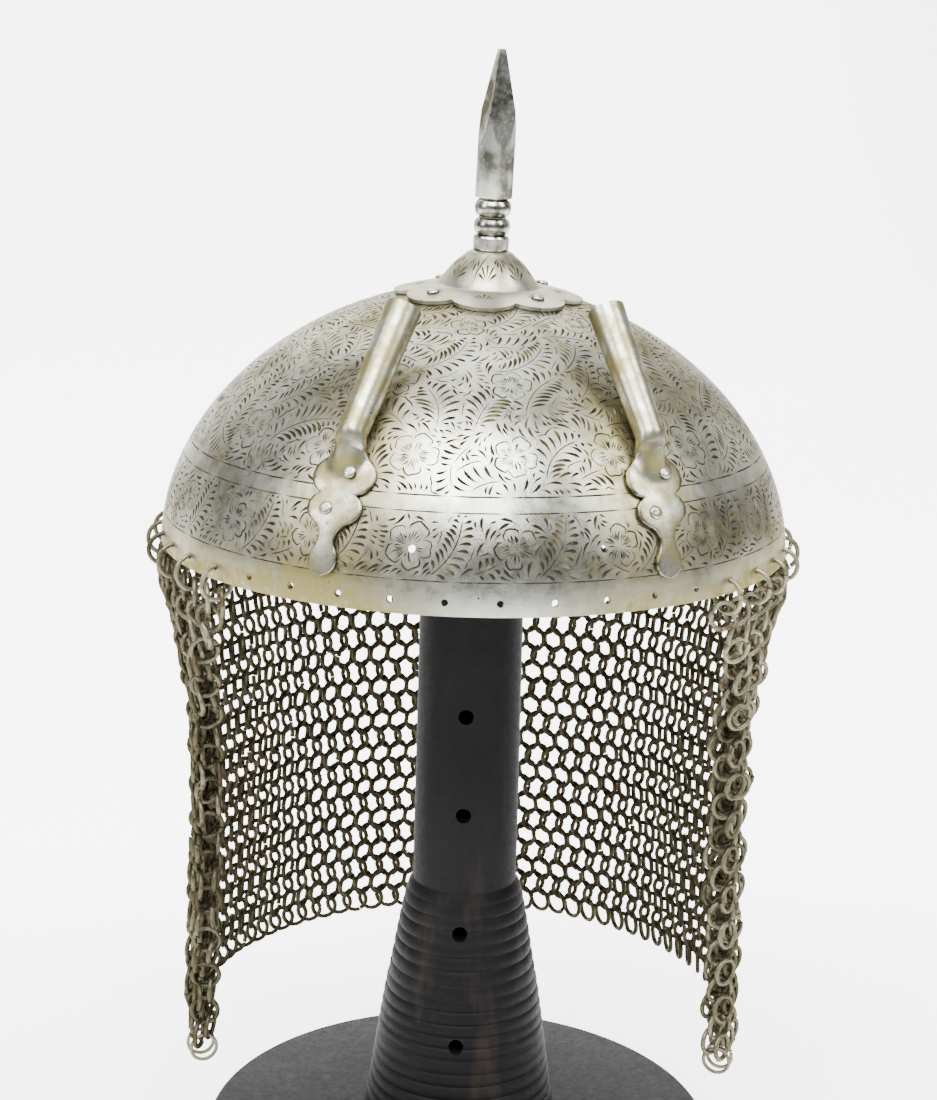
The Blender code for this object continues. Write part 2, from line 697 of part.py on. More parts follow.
def main():
    """Builds the helmet on its stand."""
    clear_scene()
    make_skull()
    make_finial_base()
    make_finial_spike()
    for side, azimuth, lean, _ in HOLDERS:
        make_plume_holder(side, azimuth, lean)
    for name, seat in rivet_seats().items():
        make_rivet(name, seat)
    make_mail_curtain()
    make_rings()
    make_stand_column()
    make_stand_base()


main()
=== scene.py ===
"""Looks of the kulah khud on its stand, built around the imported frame.

The file is laid out as a Blender add-on: each operator makes one piece, or one group of like pieces,
from the sizes and colours in the scene's settings. Everything is in metres, +Z up, with the origin in
the middle of the stand's underside and the helmet's front facing -Y. An azimuth is an angle in degrees
about the axis, from the front towards +X.
"""

import math
import random

import bmesh
import bpy
import numpy as np
from bpy.props import FloatProperty, FloatVectorProperty, IntProperty, PointerProperty
from mathutils import Matrix, Vector, noise
from mathutils.geometry import delaunay_2d_cdt


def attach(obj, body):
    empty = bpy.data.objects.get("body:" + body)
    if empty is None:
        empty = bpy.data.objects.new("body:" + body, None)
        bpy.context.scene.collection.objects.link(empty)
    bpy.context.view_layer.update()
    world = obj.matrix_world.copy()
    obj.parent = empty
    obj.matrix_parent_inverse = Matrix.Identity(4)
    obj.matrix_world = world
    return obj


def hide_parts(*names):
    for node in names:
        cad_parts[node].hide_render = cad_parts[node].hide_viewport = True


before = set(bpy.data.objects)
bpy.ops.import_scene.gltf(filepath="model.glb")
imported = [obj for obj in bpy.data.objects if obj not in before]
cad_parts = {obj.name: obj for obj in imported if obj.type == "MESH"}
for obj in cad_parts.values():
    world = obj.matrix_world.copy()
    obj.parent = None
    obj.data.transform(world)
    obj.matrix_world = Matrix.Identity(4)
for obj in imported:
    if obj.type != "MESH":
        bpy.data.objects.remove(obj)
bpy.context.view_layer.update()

bl_info = {
    "name": "Kulah khud on its stand",
    "version": (1, 0, 0),
    "blender": (4, 5, 0),
    "location": "3D View > Sidebar > Helmet",
    "description": "Engraved steel helmet with mail, plume holders and finial, on a turned stand",
    "category": "Object",
}

MM = 0.001

# Skull: the fullness is the power of its superellipse
SKULL_FULLNESS = 1.9
RIM_HOLES = 40
RIM_FIRST_AZIMUTH = -1.5
NASAL_HOLES = ((-16.4, 0.0183), (16.4, 0.0183))

# Finial: places in the plan, and the boss as share of its radius, share of its height
FINIAL_OFFSET = (0.0023, -0.0031)
FLANGE_LOBES = 8
FLANGE_AZIMUTH = -9.5
FLANGE_RIVETS = 4
BOSS_PROFILE = ((0.35, 1.0), (0.49, 0.85), (0.67, 0.62), (0.81, 0.36), (0.93, 0.12))
SPIKE_FACETS = 4
SPIKE_FACET_AZIMUTH = 15.0
BEADS = 2

# Plume holders: share of the way up the plate, share of its half-width
PLATE_FOOT = (
    (0.000, 0.06), (0.012, 0.22), (0.040, 0.37), (0.080, 0.445), (0.120, 0.455), (0.165, 0.41),
    (0.210, 0.31), (0.260, 0.265), (0.310, 0.29), (0.355, 0.42), (0.385, 0.62), (0.420, 0.80),
    (0.465, 0.87), (0.510, 0.855), (0.550, 0.75), (0.578, 0.60),
)
PLATE_HEAD = (
    (0.578, 0.60), (0.600, 0.79), (0.640, 0.945), (0.690, 1.00), (0.740, 0.97), (0.780, 0.86),
    (0.810, 0.70), (0.835, 0.58), (0.860, 0.52),
)
# Name, azimuth, lean of the tube towards +X, sideways place of the rivets
HOLDERS = (
    ("left", -30.4, 4.0, 0.0022),
    ("right", 29.2, 3.0, 0.0030),
)
# Share of the way up the plate, side of the plate's middle line
PLATE_RIVETS = ((0.72, 1), (0.47, -1))
# Raised middle of a plate: its start and the run of its rise, as shares of the plate's length
RIDGE_START = 0.64
RIDGE_RUN = 0.34
RIDGE_BREADTH = 4.4 * MM
# Neck: start and run of the curl, as shares of the plate's length, the travel from the tube's foot
# at which the tube has closed, and the share of a turn it then covers
NECK_START = 0.88
NECK_RUN = 0.10
TUBE_CLOSED = 0.0042
TUBE_COVER = 0.985
# Rivet heads: share of the radius, share of the height
RIVET_PROFILE = (
    (1.0, 0.0), (1.02, 0.25), (0.96, 0.55), (0.84, 0.80), (0.62, 0.94), (0.34, 1.0), (0.08, 1.0),
)

# Mail: share of the way down, share of the top radius, share of the gather, share of the bundle
MAIL_DRAPE = (
    (0.00, 1.000, 0.00, 0.00), (0.05, 1.000, 0.12, 0.00), (0.12, 0.965, 0.42, 0.60),
    (0.18, 0.945, 0.58, 0.85), (0.30, 0.905, 0.82, 1.00), (0.54, 0.887, 1.00, 1.00),
    (0.92, 0.902, 1.00, 0.75), (0.96, 0.904, 1.00, 0.00), (1.00, 0.906, 1.00, 0.00),
)
FIRST_RINGED_HOLE = 5
RINGED_HOLES = 30
TAIL_RINGS = 2

# Stand: share of the flare's height, share of its spread
FLARE_PROFILE = (
    (0.0, 1.0), (0.18, 0.83), (0.53, 0.55), (0.67, 0.41), (0.81, 0.28), (0.955, 0.12), (1.0, 0.0),
)
PEG_HOLE_DROPS = (0.056, 0.0896, 0.1293, 0.1664)
PEG_HOLE_AZIMUTH = -9.0
SIDE_HOLE_DROPS = (0.111, 0.149)
SIDE_HOLE_AZIMUTHS = (-97.0, 83.0)

# Camera: focal length and sensor in millimetres, angles in degrees
CAMERA_LENS = 72.75
CAMERA_SENSOR = 36.0
CAMERA_DISTANCE = 0.720
CAMERA_AZIMUTH = -6.0
CAMERA_ELEVATION = 13.5
CAMERA_ROLL = 1.5
CAMERA_ASIDE = -0.0015
CAMERA_DROP = 0.0046


def length(name, default, description):
    """A size property in metres."""
    return FloatProperty(
        name=name, description=description, default=default, min=0.0, unit="LENGTH", precision=5,
    )


def colour(name, default, description):
    """A colour property."""
    return FloatVectorProperty(
        name=name, description=description, default=default, min=0.0, max=1.0, size=3, subtype="COLOR",
    )


class HelmetSizes(bpy.types.PropertyGroup):
    """Sizes of the skull, the finial and the plume holders."""
    rim_level: length("Rim level", 0.218, "Height of the rim above the ground")
    skull_radius: length("Skull radius", 0.100, "Outer radius of the skull at its rim")
    skull_height: length("Skull height", 0.082, "Height of the crown above the rim")
    skull_wall: length("Skull wall", 0.0015, "Thickness of the skull's steel")
    rim_hole_radius: length("Rim hole", 0.00105, "Radius of the holes along the rim")
    rim_hole_height: length("Rim hole height", 0.0039, "Height of the rim's holes above its edge")
    nasal_hole_radius: length("Nasal hole", 0.0012, "Radius of the two holes over the brow")
    gap: length("Gap", 0.0003, "Clearance between pieces that touch")
    sheet: length("Sheet", 0.0012, "Thickness of the holders' plates and the finial's flange")
    flange_lobe_radius: length("Flange lobes", 0.0298, "Radius of the finial's flange at its lobes")
    flange_cusp_radius: length("Flange cusps", 0.0255, "Radius of the flange between two lobes")
    flange_rivet_radius: length("Flange rivets", 0.0225, "Radius of the circle of the flange's rivets")
    boss_radius: length("Boss radius", 0.0163, "Radius of the boss under the spike")
    boss_height: length("Boss height", 0.0108, "Height of the boss over the skull")
    collar_radius: length("Collar radius", 0.0056, "Radius of the collar on the boss")
    collar_height: length("Collar height", 0.0042, "Height of the collar")
    bead_radius: length("Bead radius", 0.0057, "Radius of the spike's two beads")
    bead_height: length("Bead height", 0.0057, "Height of each bead")
    neck_radius: length("Neck radius", 0.0042, "Radius between the beads")
    spike_radius: length("Spike radius", 0.0058, "Radius of the spike's round stretch")
    spike_length: length("Spike length", 0.0452, "Length of the spike above its beads")
    spike_round_length: length("Round stretch", 0.0162, "Length of the spike below its facets")
    spike_tip_radius: length("Tip radius", 0.0010, "Distance of the facets from the axis at the tip")
    plate_half_width: length("Plate half-width", 0.0098, "Half the width of a plate at its widest lobes")
    plate_foot_height: length("Plate foot", 0.0085, "Height of a plate's foot above the rim")
    holder_seat_height: length("Tube foot", 0.0415, "Height of a tube's foot above the rim")
    plate_under_tube: length("Plate under tube", 0.005, "Length of the plate above the tube's foot")
    tube_length: length("Tube length", 0.0455, "Length of a plume tube")
    tube_foot_radius: length("Tube foot radius", 0.0043, "Outer radius of a tube at its foot")
    tube_mouth_radius: length("Tube mouth radius", 0.0055, "Outer radius of a tube at its mouth")
    tube_wall: length("Tube wall", 0.0010, "Thickness of a tube's wall")
    tube_sink: length("Tube sink", 0.0007, "How far a tube's underside sinks into its plate")
    rivet_head_radius: length("Rivet head", 0.0020, "Radius of a rivet's head")
    rivet_head_height: length("Rivet head height", 0.0008, "Height of a rivet's head")


class MailSizes(bpy.types.PropertyGroup):
    """Sizes of the mail and of the rings that hold it."""
    hanging_radius: length("Hanging rings", 0.0052, "Radius of the rings in the rim, at the wire's middle")
    hanging_wire: length("Hanging wire", 0.00072, "Radius of the wire of the rings in the rim")
    ring_radius: length("Mail rings", 0.00415, "Radius of the mail's rings, at the wire's middle")
    ring_wire: length("Mail wire", 0.00080, "Radius of the wire of the mail's rings")
    row_drop: length("Row drop", 0.00636, "Height between two rows of mail")
    rows: IntProperty(name="Rows", description="Rows of mail rings", default=25, min=2)
    weave_turn: FloatProperty(
        name="Weave turn", description="Turn of the rings in every other row about the vertical",
        default=math.radians(25.0), subtype="ANGLE",
    )
    top_drop: length("Top drop", 0.0028, "Drop of the mail's top edge below the rim")
    mail_length: length("Mail length", 0.1622, "Length of the mail curtain")
    edge_margin: FloatProperty(
        name="Edge margin", description="Mail beyond the first and last hanging ring",
        default=math.radians(2.5), subtype="ANGLE",
    )
    gather: FloatProperty(
        name="Gather", description="How far each front edge draws back towards the side",
        default=math.radians(19.0), subtype="ANGLE",
    )
    bundle_radius: length("Bundle radius", 0.0055, "Radius of the gathered front edges")
    tail_radius: length("Tail rings", 0.0042, "Radius of the loose rings under the tails")
    tail_wire: length("Tail wire", 0.0006, "Radius of the wire of the tail rings")
    tail_rise: length("Tail rise", 0.003, "Height of the tail rings' holes above the hem")
    tail_pitch: FloatProperty(
        name="Tail pitch", description="Turn between two tail rings",
        default=math.radians(2.8), subtype="ANGLE",
    )


class StandSizes(bpy.types.PropertyGroup):
    """Sizes of the turned stand."""
    base_radius: length("Base radius", 0.0856, "Radius of the base plate")
    base_thickness: length("Base thickness", 0.012, "Thickness of the base plate")
    column_top_radius: length("Column top", 0.0163, "Radius of the column at its top")
    column_low_radius: length("Column foot", 0.0173, "Radius of the column above its flare")
    flare_height: length("Flare height", 0.089, "Height of the ribbed flare")
    flare_foot_radius: length("Flare foot", 0.0338, "Radius of the flare on the base")
    tenon_radius: length("Tenon radius", 0.012, "Radius of the column's tenon")
    tenon_length: length("Tenon length", 0.008, "Length of the column's tenon")
    crown_gap: length("Crown gap", 0.0006, "Clearance between the column's top and the crown")
    peg_hole_radius: length("Peg hole", 0.0025, "Radius of the holes in the column")
    peg_hole_depth: length("Peg hole depth", 0.012, "Depth of the holes in the column")
    rib_pitch: length("Rib pitch", 0.00425, "Height of one turned rib")
    rib_depth: length("Rib depth", 0.0009, "Depth of the grooves between the ribs")


class FinishColours(bpy.types.PropertyGroup):
    """Colours of the finishes."""
    steel: colour("Steel", (0.625, 0.628, 0.560), "Clean steel of the skull and the finial")
    dull_steel: colour("Dull steel", (0.215, 0.213, 0.172), "Steel under a grey film")
    stain: colour("Stain", (0.285, 0.248, 0.100), "Yellow-brown tarnish")
    patina: colour("Patina", (0.022, 0.018, 0.011), "Dark filling of the engraving")
    # The mail colour below is the wire's own dark colour, set darker still as painted shade for the back
    # of the curtain; the worn mail colour after it is rubbed wire and also the painted light on the
    # curtain's front.
    mail: colour("Mail", (0.062, 0.057, 0.033), "Wire of the mail")
    worn_and_lit_mail: colour("Worn mail", (0.29, 0.275, 0.185), "Wire of the mail where it is rubbed")
    rust: colour("Rust", (0.050, 0.027, 0.013), "Rust on the mail")
    paint: colour("Paint", (0.0040, 0.0040, 0.0046), "Black paint of the stand")
    worn_paint: colour("Worn paint", (0.022, 0.0155, 0.0115), "Brown wood where the paint is thin")
    floor: colour("Floor", (0.90, 0.90, 0.90), "Floor of the stage")


def helmet():
    """The helmet's sizes."""
    return bpy.context.scene.kulah_helmet


def mail():
    """The mail's sizes."""
    return bpy.context.scene.kulah_mail


def stand():
    """The stand's sizes."""
    return bpy.context.scene.kulah_stand


def colours():
    """The finishes' colours."""
    return bpy.context.scene.kulah_colours


# Places on the helmet

def place(radius, azimuth, height):
    """Point at a radius and an azimuth in degrees."""
    angle = math.radians(azimuth)
    return Vector((radius * math.sin(angle), -radius * math.cos(angle), height))


def skull_height(radius):
    """Height of the skull above its rim at a radius."""
    share = min(1.0, radius / helmet().skull_radius)
    return helmet().skull_height * (1 - share**SKULL_FULLNESS) ** (1 / SKULL_FULLNESS)


def skull_radius(height):
    """Outer radius of the skull at a height above its rim."""
    share = max(0.0, min(1.0, height / helmet().skull_height))
    return helmet().skull_radius * (1 - share**SKULL_FULLNESS) ** (1 / SKULL_FULLNESS)


def skull_normal(azimuth, radius, height):
    """Direction out of the skull at a place on it."""
    size = helmet()
    power = SKULL_FULLNESS - 1
    out = place((radius / size.skull_radius) ** power / size.skull_radius, azimuth, 0.0)
    out.z = (height / size.skull_height) ** power / size.skull_height
    return out.normalized()


def skull_seat(azimuth, height):
    """Frame on the skull: X round it, Y up the meridian, Z out of the surface."""
    radius = skull_radius(height)
    out = skull_normal(azimuth, radius, height)
    around = place(1.0, azimuth + 90, 0.0)
    up = out.cross(around)
    origin = place(radius, azimuth, helmet().rim_level + height)
    return Matrix.Translation(origin) @ Matrix((around, up, out)).transposed().to_4x4()


def skull_seat_under(x, y):
    """Frame on the skull under a point of its plan."""
    return skull_seat(math.degrees(math.atan2(x, -y)), skull_height(math.hypot(x, y)))


def finial_frame():
    """Frame of the finial: its origin on the skull, Z out of the surface."""
    seat = skull_seat_under(*FINIAL_OFFSET)
    turn = Vector((0, 0, 1)).rotation_difference(seat.col[2].to_3d())
    return Matrix.Translation(seat.translation) @ turn.to_matrix().to_4x4()


def plate_height(share):
    """Height on the skull at a share of the way up a holder's plate."""
    size = helmet()
    top = size.holder_seat_height + size.plate_under_tube
    return size.plate_foot_height + share * (top - size.plate_foot_height)


def plate_crown(share, aside):
    """Rise of a plate's middle towards its tube, at a share of its length and a distance aside."""
    size = helmet()
    travel = min(1.0, max(0.0, (share - RIDGE_START) / RIDGE_RUN))
    ease = travel * travel * (3 - 2 * travel)
    full = 2 * size.tube_foot_radius - size.tube_sink
    return full * ease * math.exp(-abs(aside / RIDGE_BREADTH) ** 3)


def plate_azimuth(azimuth, lean, height):
    """Azimuth of a leaning plate's middle line at a height."""
    shift = (height - helmet().holder_seat_height) * math.tan(math.radians(lean))
    return azimuth + math.degrees(shift / helmet().skull_radius)


class Dome:
    """The skull's outer face unrolled into a flat disc, from the crown in the middle to the rim."""

    STEPS = 1500

    def __init__(self):
        turn = np.linspace(0.0, math.pi / 2, self.STEPS)
        power = 2 / SKULL_FULLNESS
        self.radii = helmet().skull_radius * np.sin(turn) ** power
        self.heights = helmet().skull_height * np.maximum(np.cos(turn), 0.0) ** power
        steps = np.hypot(np.diff(self.radii), np.diff(self.heights))
        self.arcs = np.concatenate(([0.0], np.cumsum(steps)))
        self.rim = float(self.arcs[-1])

    def arc_at(self, height):
        """Distance from the crown along the surface at a height above the rim."""
        return float(np.interp(-height, -self.heights, self.arcs))

    def radius_at(self, arc):
        """Radius about the axis at a distance from the crown."""
        return float(np.interp(arc, self.arcs, self.radii))

    def height_at(self, arc):
        """Height above the rim at a distance from the crown."""
        return float(np.interp(arc, self.arcs, self.heights))

    def flat(self, azimuth, arc):
        """Point of the disc."""
        angle = math.radians(azimuth)
        return Vector((arc * math.sin(angle), -arc * math.cos(angle)))

    def offset(self, azimuth, arc, x, y):
        """Point of the disc that lies x to the right of a place and y towards the crown."""
        here = max(0.001, arc - y)
        turn = math.degrees(x / max(0.004, self.radius_at(here)))
        return self.flat(azimuth + turn, here)

    def surface(self, points, depth):
        """Points in space, and the directions out of the skull, for an array of points of the disc."""
        points = np.asarray(points, float)
        arcs = np.hypot(points[:, 0], points[:, 1])
        safe = np.maximum(arcs, 1e-9)
        across = np.stack((points[:, 0] / safe, points[:, 1] / safe), axis=1)
        radii = np.interp(arcs, self.arcs, self.radii)
        heights = np.interp(arcs, self.arcs, self.heights)
        power = SKULL_FULLNESS - 1
        size = helmet()
        flat_part = (radii / size.skull_radius) ** power / size.skull_radius
        rise_part = (np.maximum(heights, 0.0) / size.skull_height) ** power / size.skull_height
        out = np.stack((across[:, 0] * flat_part, across[:, 1] * flat_part, rise_part), axis=1)
        out /= np.linalg.norm(out, axis=1, keepdims=True)
        spots = np.stack((across[:, 0] * radii, across[:, 1] * radii, heights + size.rim_level), axis=1)
        return spots - out * np.asarray(depth, float)[:, None], out


# Meshes

def add_piece(name, mesh, materials):
    """Links a mesh as a piece that moves with the body, with its materials."""
    for material in materials:
        mesh.materials.append(material)
    piece = bpy.data.objects.new(name, mesh)
    bpy.context.scene.collection.objects.link(piece)
    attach(piece, "root")
    return piece


def mesh_from(name, points, faces):
    """Mesh from points and faces."""
    mesh = bpy.data.meshes.new(name)
    mesh.from_pydata([tuple(point) for point in points], [], faces)
    mesh.validate()
    return mesh


def shade(mesh, smooth_degrees):
    """Shades a mesh smooth wherever two faces meet below an angle."""
    mesh.shade_smooth()
    mesh.set_sharp_from_angle(angle=math.radians(smooth_degrees))


def rings_to_mesh(name, rings, smooth_degrees):
    """Skin over rings of points of equal count, capped at both ends."""
    count = len(rings[0])
    points = [point for ring in rings for point in ring]
    faces = []
    for i in range(len(rings) - 1):
        near, far = i * count, (i + 1) * count
        for j in range(count):
            k = (j + 1) % count
            faces.append((near + j, near + k, far + k, far + j))
    faces.append(tuple(reversed(range(count))))
    faces.append(tuple(range(len(points) - count, len(points))))
    mesh = mesh_from(name, points, faces)
    body = bmesh.new()
    body.from_mesh(mesh)
    bmesh.ops.recalc_face_normals(body, faces=body.faces)
    body.to_mesh(mesh)
    body.free()
    shade(mesh, smooth_degrees)
    return mesh


def circle(radius, height, sides, start=0.0):
    """Ring of points about the axis."""
    return [place(radius, start + 360 * i / sides, height) for i in range(sides)]


def smooth_run(pairs, steps):
    """Points on a smooth curve through pairs of numbers, with a count of steps between two of them."""
    made = []
    for i in range(len(pairs) - 1):
        before = pairs[max(0, i - 1)]
        start, end = pairs[i], pairs[i + 1]
        after = pairs[min(len(pairs) - 1, i + 2)]
        for step in range(steps):
            t = step / steps
            point = []
            for a, b, c, d in zip(before, start, end, after):
                bend = 2 * a - 5 * b + 4 * c - d
                twist = -a + 3 * b - 3 * c + d
                point.append(0.5 * (2 * b + (c - a) * t + bend * t * t + twist * t**3))
            made.append(tuple(point))
    made.append(tuple(pairs[-1]))
    return made


# Engraving: spacing of the marks that keep strokes apart, breadth of combed cuts and of lines
MARK_PITCH = 0.6 * MM
COMB_BREADTH = 1.18
LINE_BREADTH = 1.22


class Stroke:
    """One engraved cut: its outline and its deepest line, both in the unrolled plane."""

    def __init__(self, outline, spine, depth):
        self.outline = outline
        self.spine = spine
        self.depth = depth


class Engraver:
    """Lays strokes on a surface and keeps them clear of each other."""

    def __init__(self, to_plane, to_space, seed):
        self.to_plane = to_plane
        self.to_space = to_space
        self.strokes = []
        self.cells = {}
        self.cell = 1.2 * MM
        self.random = random.Random(seed)

    def key(self, point):
        """Cell of a point in space."""
        return tuple(int(math.floor(value / self.cell)) for value in point)

    def is_clear(self, point, reach):
        """True where no mark lies within a reach of a point in space."""
        column, row, layer = self.key(point)
        for i in (column - 1, column, column + 1):
            for j in (row - 1, row, row + 1):
                for k in (layer - 1, layer, layer + 1):
                    for other, room in self.cells.get((i, j, k), ()):
                        if (other - point).length < reach + room:
                            return False
        return True

    def reserve(self, point, reach):
        """Marks a point in space as taken."""
        self.cells.setdefault(self.key(point), []).append((point, reach))

    def marks_along(self, path, widths, spot):
        """Close points in space along a local path, each with its half-width."""
        marks = []
        for i, (start, end) in enumerate(zip(path, path[1:])):
            steps = max(1, int((end - start).length / MARK_PITCH))
            for step in range(steps):
                share = step / steps
                plane = self.to_plane(spot, start.lerp(end, share))
                marks.append((self.to_space(plane), widths[i] + share * (widths[i + 1] - widths[i])))
        marks.append((self.to_space(self.to_plane(spot, path[-1])), widths[-1]))
        return marks

    def cut(self, path, widths, clearance, depth_share, spot):
        """Adds one stroke along a path of local points, with its half-widths there, if it is clear."""
        marks = self.marks_along(path, widths, spot)
        if not all(self.is_clear(point, room + clearance) for point, room in marks):
            return False
        left, right = [], []
        for i in range(1, len(path) - 1):
            along = (path[i + 1] - path[i - 1]).normalized()
            aside = Vector((-along.y, along.x)) * widths[i]
            left.append(self.to_plane(spot, path[i] + aside))
            right.append(self.to_plane(spot, path[i] - aside))
        spine = [self.to_plane(spot, point) for point in path]
        outline = [spine[0], *right, spine[-1], *reversed(left)]
        self.strokes.append(Stroke(outline, spine, [depth_share * width for width in widths]))
        for point, room in marks:
            self.reserve(point, room)
        return True


def arc_path(start, heading, reach, bend, steps):
    """Path of a given length that turns evenly by an angle, from a start and a heading in radians."""
    path = [start.copy()]
    turn = heading
    point = start.copy()
    for _ in range(steps):
        turn += bend / steps
        point = point + Vector((math.cos(turn), math.sin(turn))) * (reach / steps)
        path.append(point.copy())
    return path


def comb_widths(widest, steps):
    """Half-widths of a comma-shaped cut that starts thin and ends blunt."""
    made = [0.0]
    for i in range(1, steps):
        share = i / steps
        made.append(COMB_BREADTH * widest * math.sin(math.pi * share**1.9) ** 0.75)
    return [*made, 0.0]


def line_widths(width, steps):
    """Half-widths of a fine line that tapers at both ends."""
    return [0.0] + [LINE_BREADTH * width] * (steps - 1) + [0.0]


def engrave_flower(tool, spot, radius, turn):
    """Flower of five hatched petals inside wavy petal outlines."""
    rnd = tool.random
    for petal in range(5):
        middle = turn + petal * 2 * math.pi / 5 + rnd.uniform(-0.12, 0.12)
        reach = radius * rnd.uniform(0.92, 1.10)
        half = math.pi / 5 * 0.95
        edge = []
        for i in range(11):
            share = i / 10
            angle = middle + (2 * share - 1) * half
            swell = math.sin(math.pi * share) ** 0.45
            notch = 1 - 0.10 * math.exp(-((share - 0.5) / 0.09) ** 2)
            wave = 1 + 0.035 * math.sin(13 * share + petal)
            distance = reach * (0.60 + 0.40 * swell * notch) * wave
            edge.append(Vector((math.cos(angle), math.sin(angle))) * distance)
        tool.cut(edge, line_widths(rnd.uniform(0.12, 0.26) * MM, 10), 0.05 * MM, 0.6, spot)
        hatches = rnd.choice((8, 9, 10))
        for i in range(hatches):
            aside = 2 * (i + 0.5) / hatches - 1
            angle = middle + aside * half * 0.84
            inner = radius * (0.15 if i % 2 else 0.26)
            outer = radius * rnd.uniform(0.58, 0.84) * (1 - 0.20 * abs(aside))
            direction = Vector((math.cos(angle), math.sin(angle)))
            sway = Vector((-direction.y, direction.x)) * rnd.uniform(-0.15, 0.15) * MM
            wide = rnd.uniform(0.14, 0.21) * MM
            path = [direction * (inner + (outer - inner) * i / 3) + sway * i * (3 - i) for i in range(4)]
            tool.cut(path, [0.0, wide * 0.7, wide, 0.0], 0.03 * MM, 0.9, spot)
    for ring in np.linspace(0.1, 0.75, 4):
        count = max(6, int(2 * math.pi * ring * radius / (1.0 * MM)))
        for i in range(count):
            angle = 2 * math.pi * i / count
            point = Vector((math.cos(angle), math.sin(angle))) * ring * radius
            tool.reserve(tool.to_space(tool.to_plane(spot, point)), 0.30 * MM)


def engrave_fern(tool, spot, start, heading, reach, bend, longest, pitch=1.95 * MM, sides=(1, -1)):
    """Curved leaf: a fine midrib, a comb of comma-shaped cuts along its sides and a wavy edge."""
    rnd = tool.random
    steps = max(4, int(reach / pitch))
    spine = arc_path(start, heading, reach, bend, steps)
    stem = spine[: steps + 1]
    while len(stem) >= 4:
        widths = line_widths(rnd.uniform(0.11, 0.17) * MM, len(stem) - 1)
        if tool.cut(stem, widths, 0.22 * MM, 0.7, spot):
            break
        stem = stem[:-2]
    if len(stem) < 4:
        return
    for side in sides:
        tips = []
        for i in range(1, len(stem)):
            along = (stem[i] - stem[i - 1]).normalized()
            share = i / steps
            aside = Vector((-along.y, along.x)) * side
            swell = math.sin(math.pi * min(0.95, 0.16 + 0.82 * share)) ** 0.6
            size = longest * swell * rnd.uniform(0.88, 1.12)
            if size < 1.4 * MM:
                continue
            lean = math.atan2(aside.y * 0.80 + along.y * 0.6, aside.x * 0.80 + along.x * 0.6)
            root = stem[i] + aside * 0.50 * MM
            for attempt in (1.0, 0.8, 0.6, 0.42):
                cuts = 5 if size * attempt > 3 * MM else 4
                path = arc_path(root, lean - side * 0.38, size * attempt, side * 0.9, cuts)
                wide = rnd.uniform(0.36, 0.50) * MM * (0.6 + 0.4 * attempt)
                if tool.cut(path, comb_widths(wide, cuts), 0.15 * MM, 0.6, spot):
                    way = (path[-1] - path[-2]).normalized()
                    tips.append((path[-1] + way * 0.75 * MM, way))
                    break
        engrave_edge(tool, tips, spot)


def engrave_edge(tool, tips, spot):
    """Wavy outline of a leaf, in lengths that pass round the tips of its cuts."""
    rnd = tool.random
    first = 0
    while first + 2 < len(tips):
        count = rnd.choice((3, 4))
        run = tips[first:first + count]
        path = []
        for (here, way), (there, _) in zip(run, run[1:]):
            if (there - here).length > 4.5 * MM:
                path = []
                break
            path += [here, (here + there) / 2 + way * rnd.uniform(0.1, 0.5) * MM]
        if path:
            path.append(run[-1][0])
            wide = rnd.uniform(0.15, 0.34) * MM
            widths = [wide * rnd.uniform(0.55, 1.0) for _ in path]
            widths[0] = widths[-1] = 0.0
            tool.cut(path, widths, 0.10 * MM, 0.5, spot)
        first += count - 1


def engrave_ring_line(tool, dome, arc, width, pieces, wobble=0.10 * MM):
    """Line round the skull, cut in short lengths that nearly meet."""
    steps = 5
    for i in range(pieces):
        start, end = 360 * i / pieces, 360 * (i + 0.985) / pieces
        path = []
        for step in range(steps + 1):
            azimuth = start + (end - start) * step / steps
            drift = wobble * noise.noise(Vector((azimuth * 0.35, arc * 90, 0.0)))
            path.append((azimuth, arc + drift))
        spine = [dome.flat(*point) for point in path]
        outer = [dome.flat(azimuth, here + width) for azimuth, here in path[1:-1]]
        inner = [dome.flat(azimuth, here - width) for azimuth, here in path[1:-1]]
        outline = [spine[0], *outer, spine[-1], *reversed(inner)]
        tool.strokes.append(Stroke(outline, spine, [0.6 * wide for wide in line_widths(width, steps)]))
        marks = int(dome.rim * math.radians(end - start) / MARK_PITCH)
        for step in range(marks):
            azimuth = start + (end - start) * step / marks
            tool.reserve(tool.to_space(dome.flat(azimuth, arc)), width)


def triangulate(outline, holes, strokes, grid):
    """Triangles of a flat outline with holes; strokes become faces of their own with a deep middle line.

    Returns the points, their depths, the triangles, which triangles lie in a stroke, and for the
    outline and each hole the numbers of its points.
    """
    points, edges, faces, depths = [], [], [], []

    def add(loop, values):
        """Adds a loop of points and gives their numbers."""
        first = len(points)
        points.extend(loop)
        depths.extend(values)
        return list(range(first, len(points)))

    loops = [add(loop, [0.0] * len(loop)) for loop in (outline, *holes)]
    faces.extend(loops)
    for stroke in strokes:
        around = add(stroke.outline, [0.0] * len(stroke.outline))
        faces.append(around)
        middle = add(stroke.spine[1:-1], stroke.depth[1:-1])
        run = [around[0], *middle, around[len(stroke.spine) - 1]]
        edges.extend(zip(run, run[1:]))
    add(grid, [0.0] * len(grid))
    flat, _, triangles, sources, _, owners = delaunay_2d_cdt(points, edges, faces, 0, 1e-7, True)
    made_depths = [max((depths[i] for i in source), default=0.0) for source in sources]
    number = {}
    for made, source in enumerate(sources):
        for i in source:
            number[i] = made
    loops = [[number[i] for i in loop] for loop in loops]
    kept, cut = [], []
    for triangle, owner in zip(triangles, owners):
        if 0 not in owner or any(0 < i <= len(holes) for i in owner):
            continue
        kept.append(tuple(triangle))
        cut.append(any(i > len(holes) for i in owner))
    return flat, made_depths, kept, cut, loops


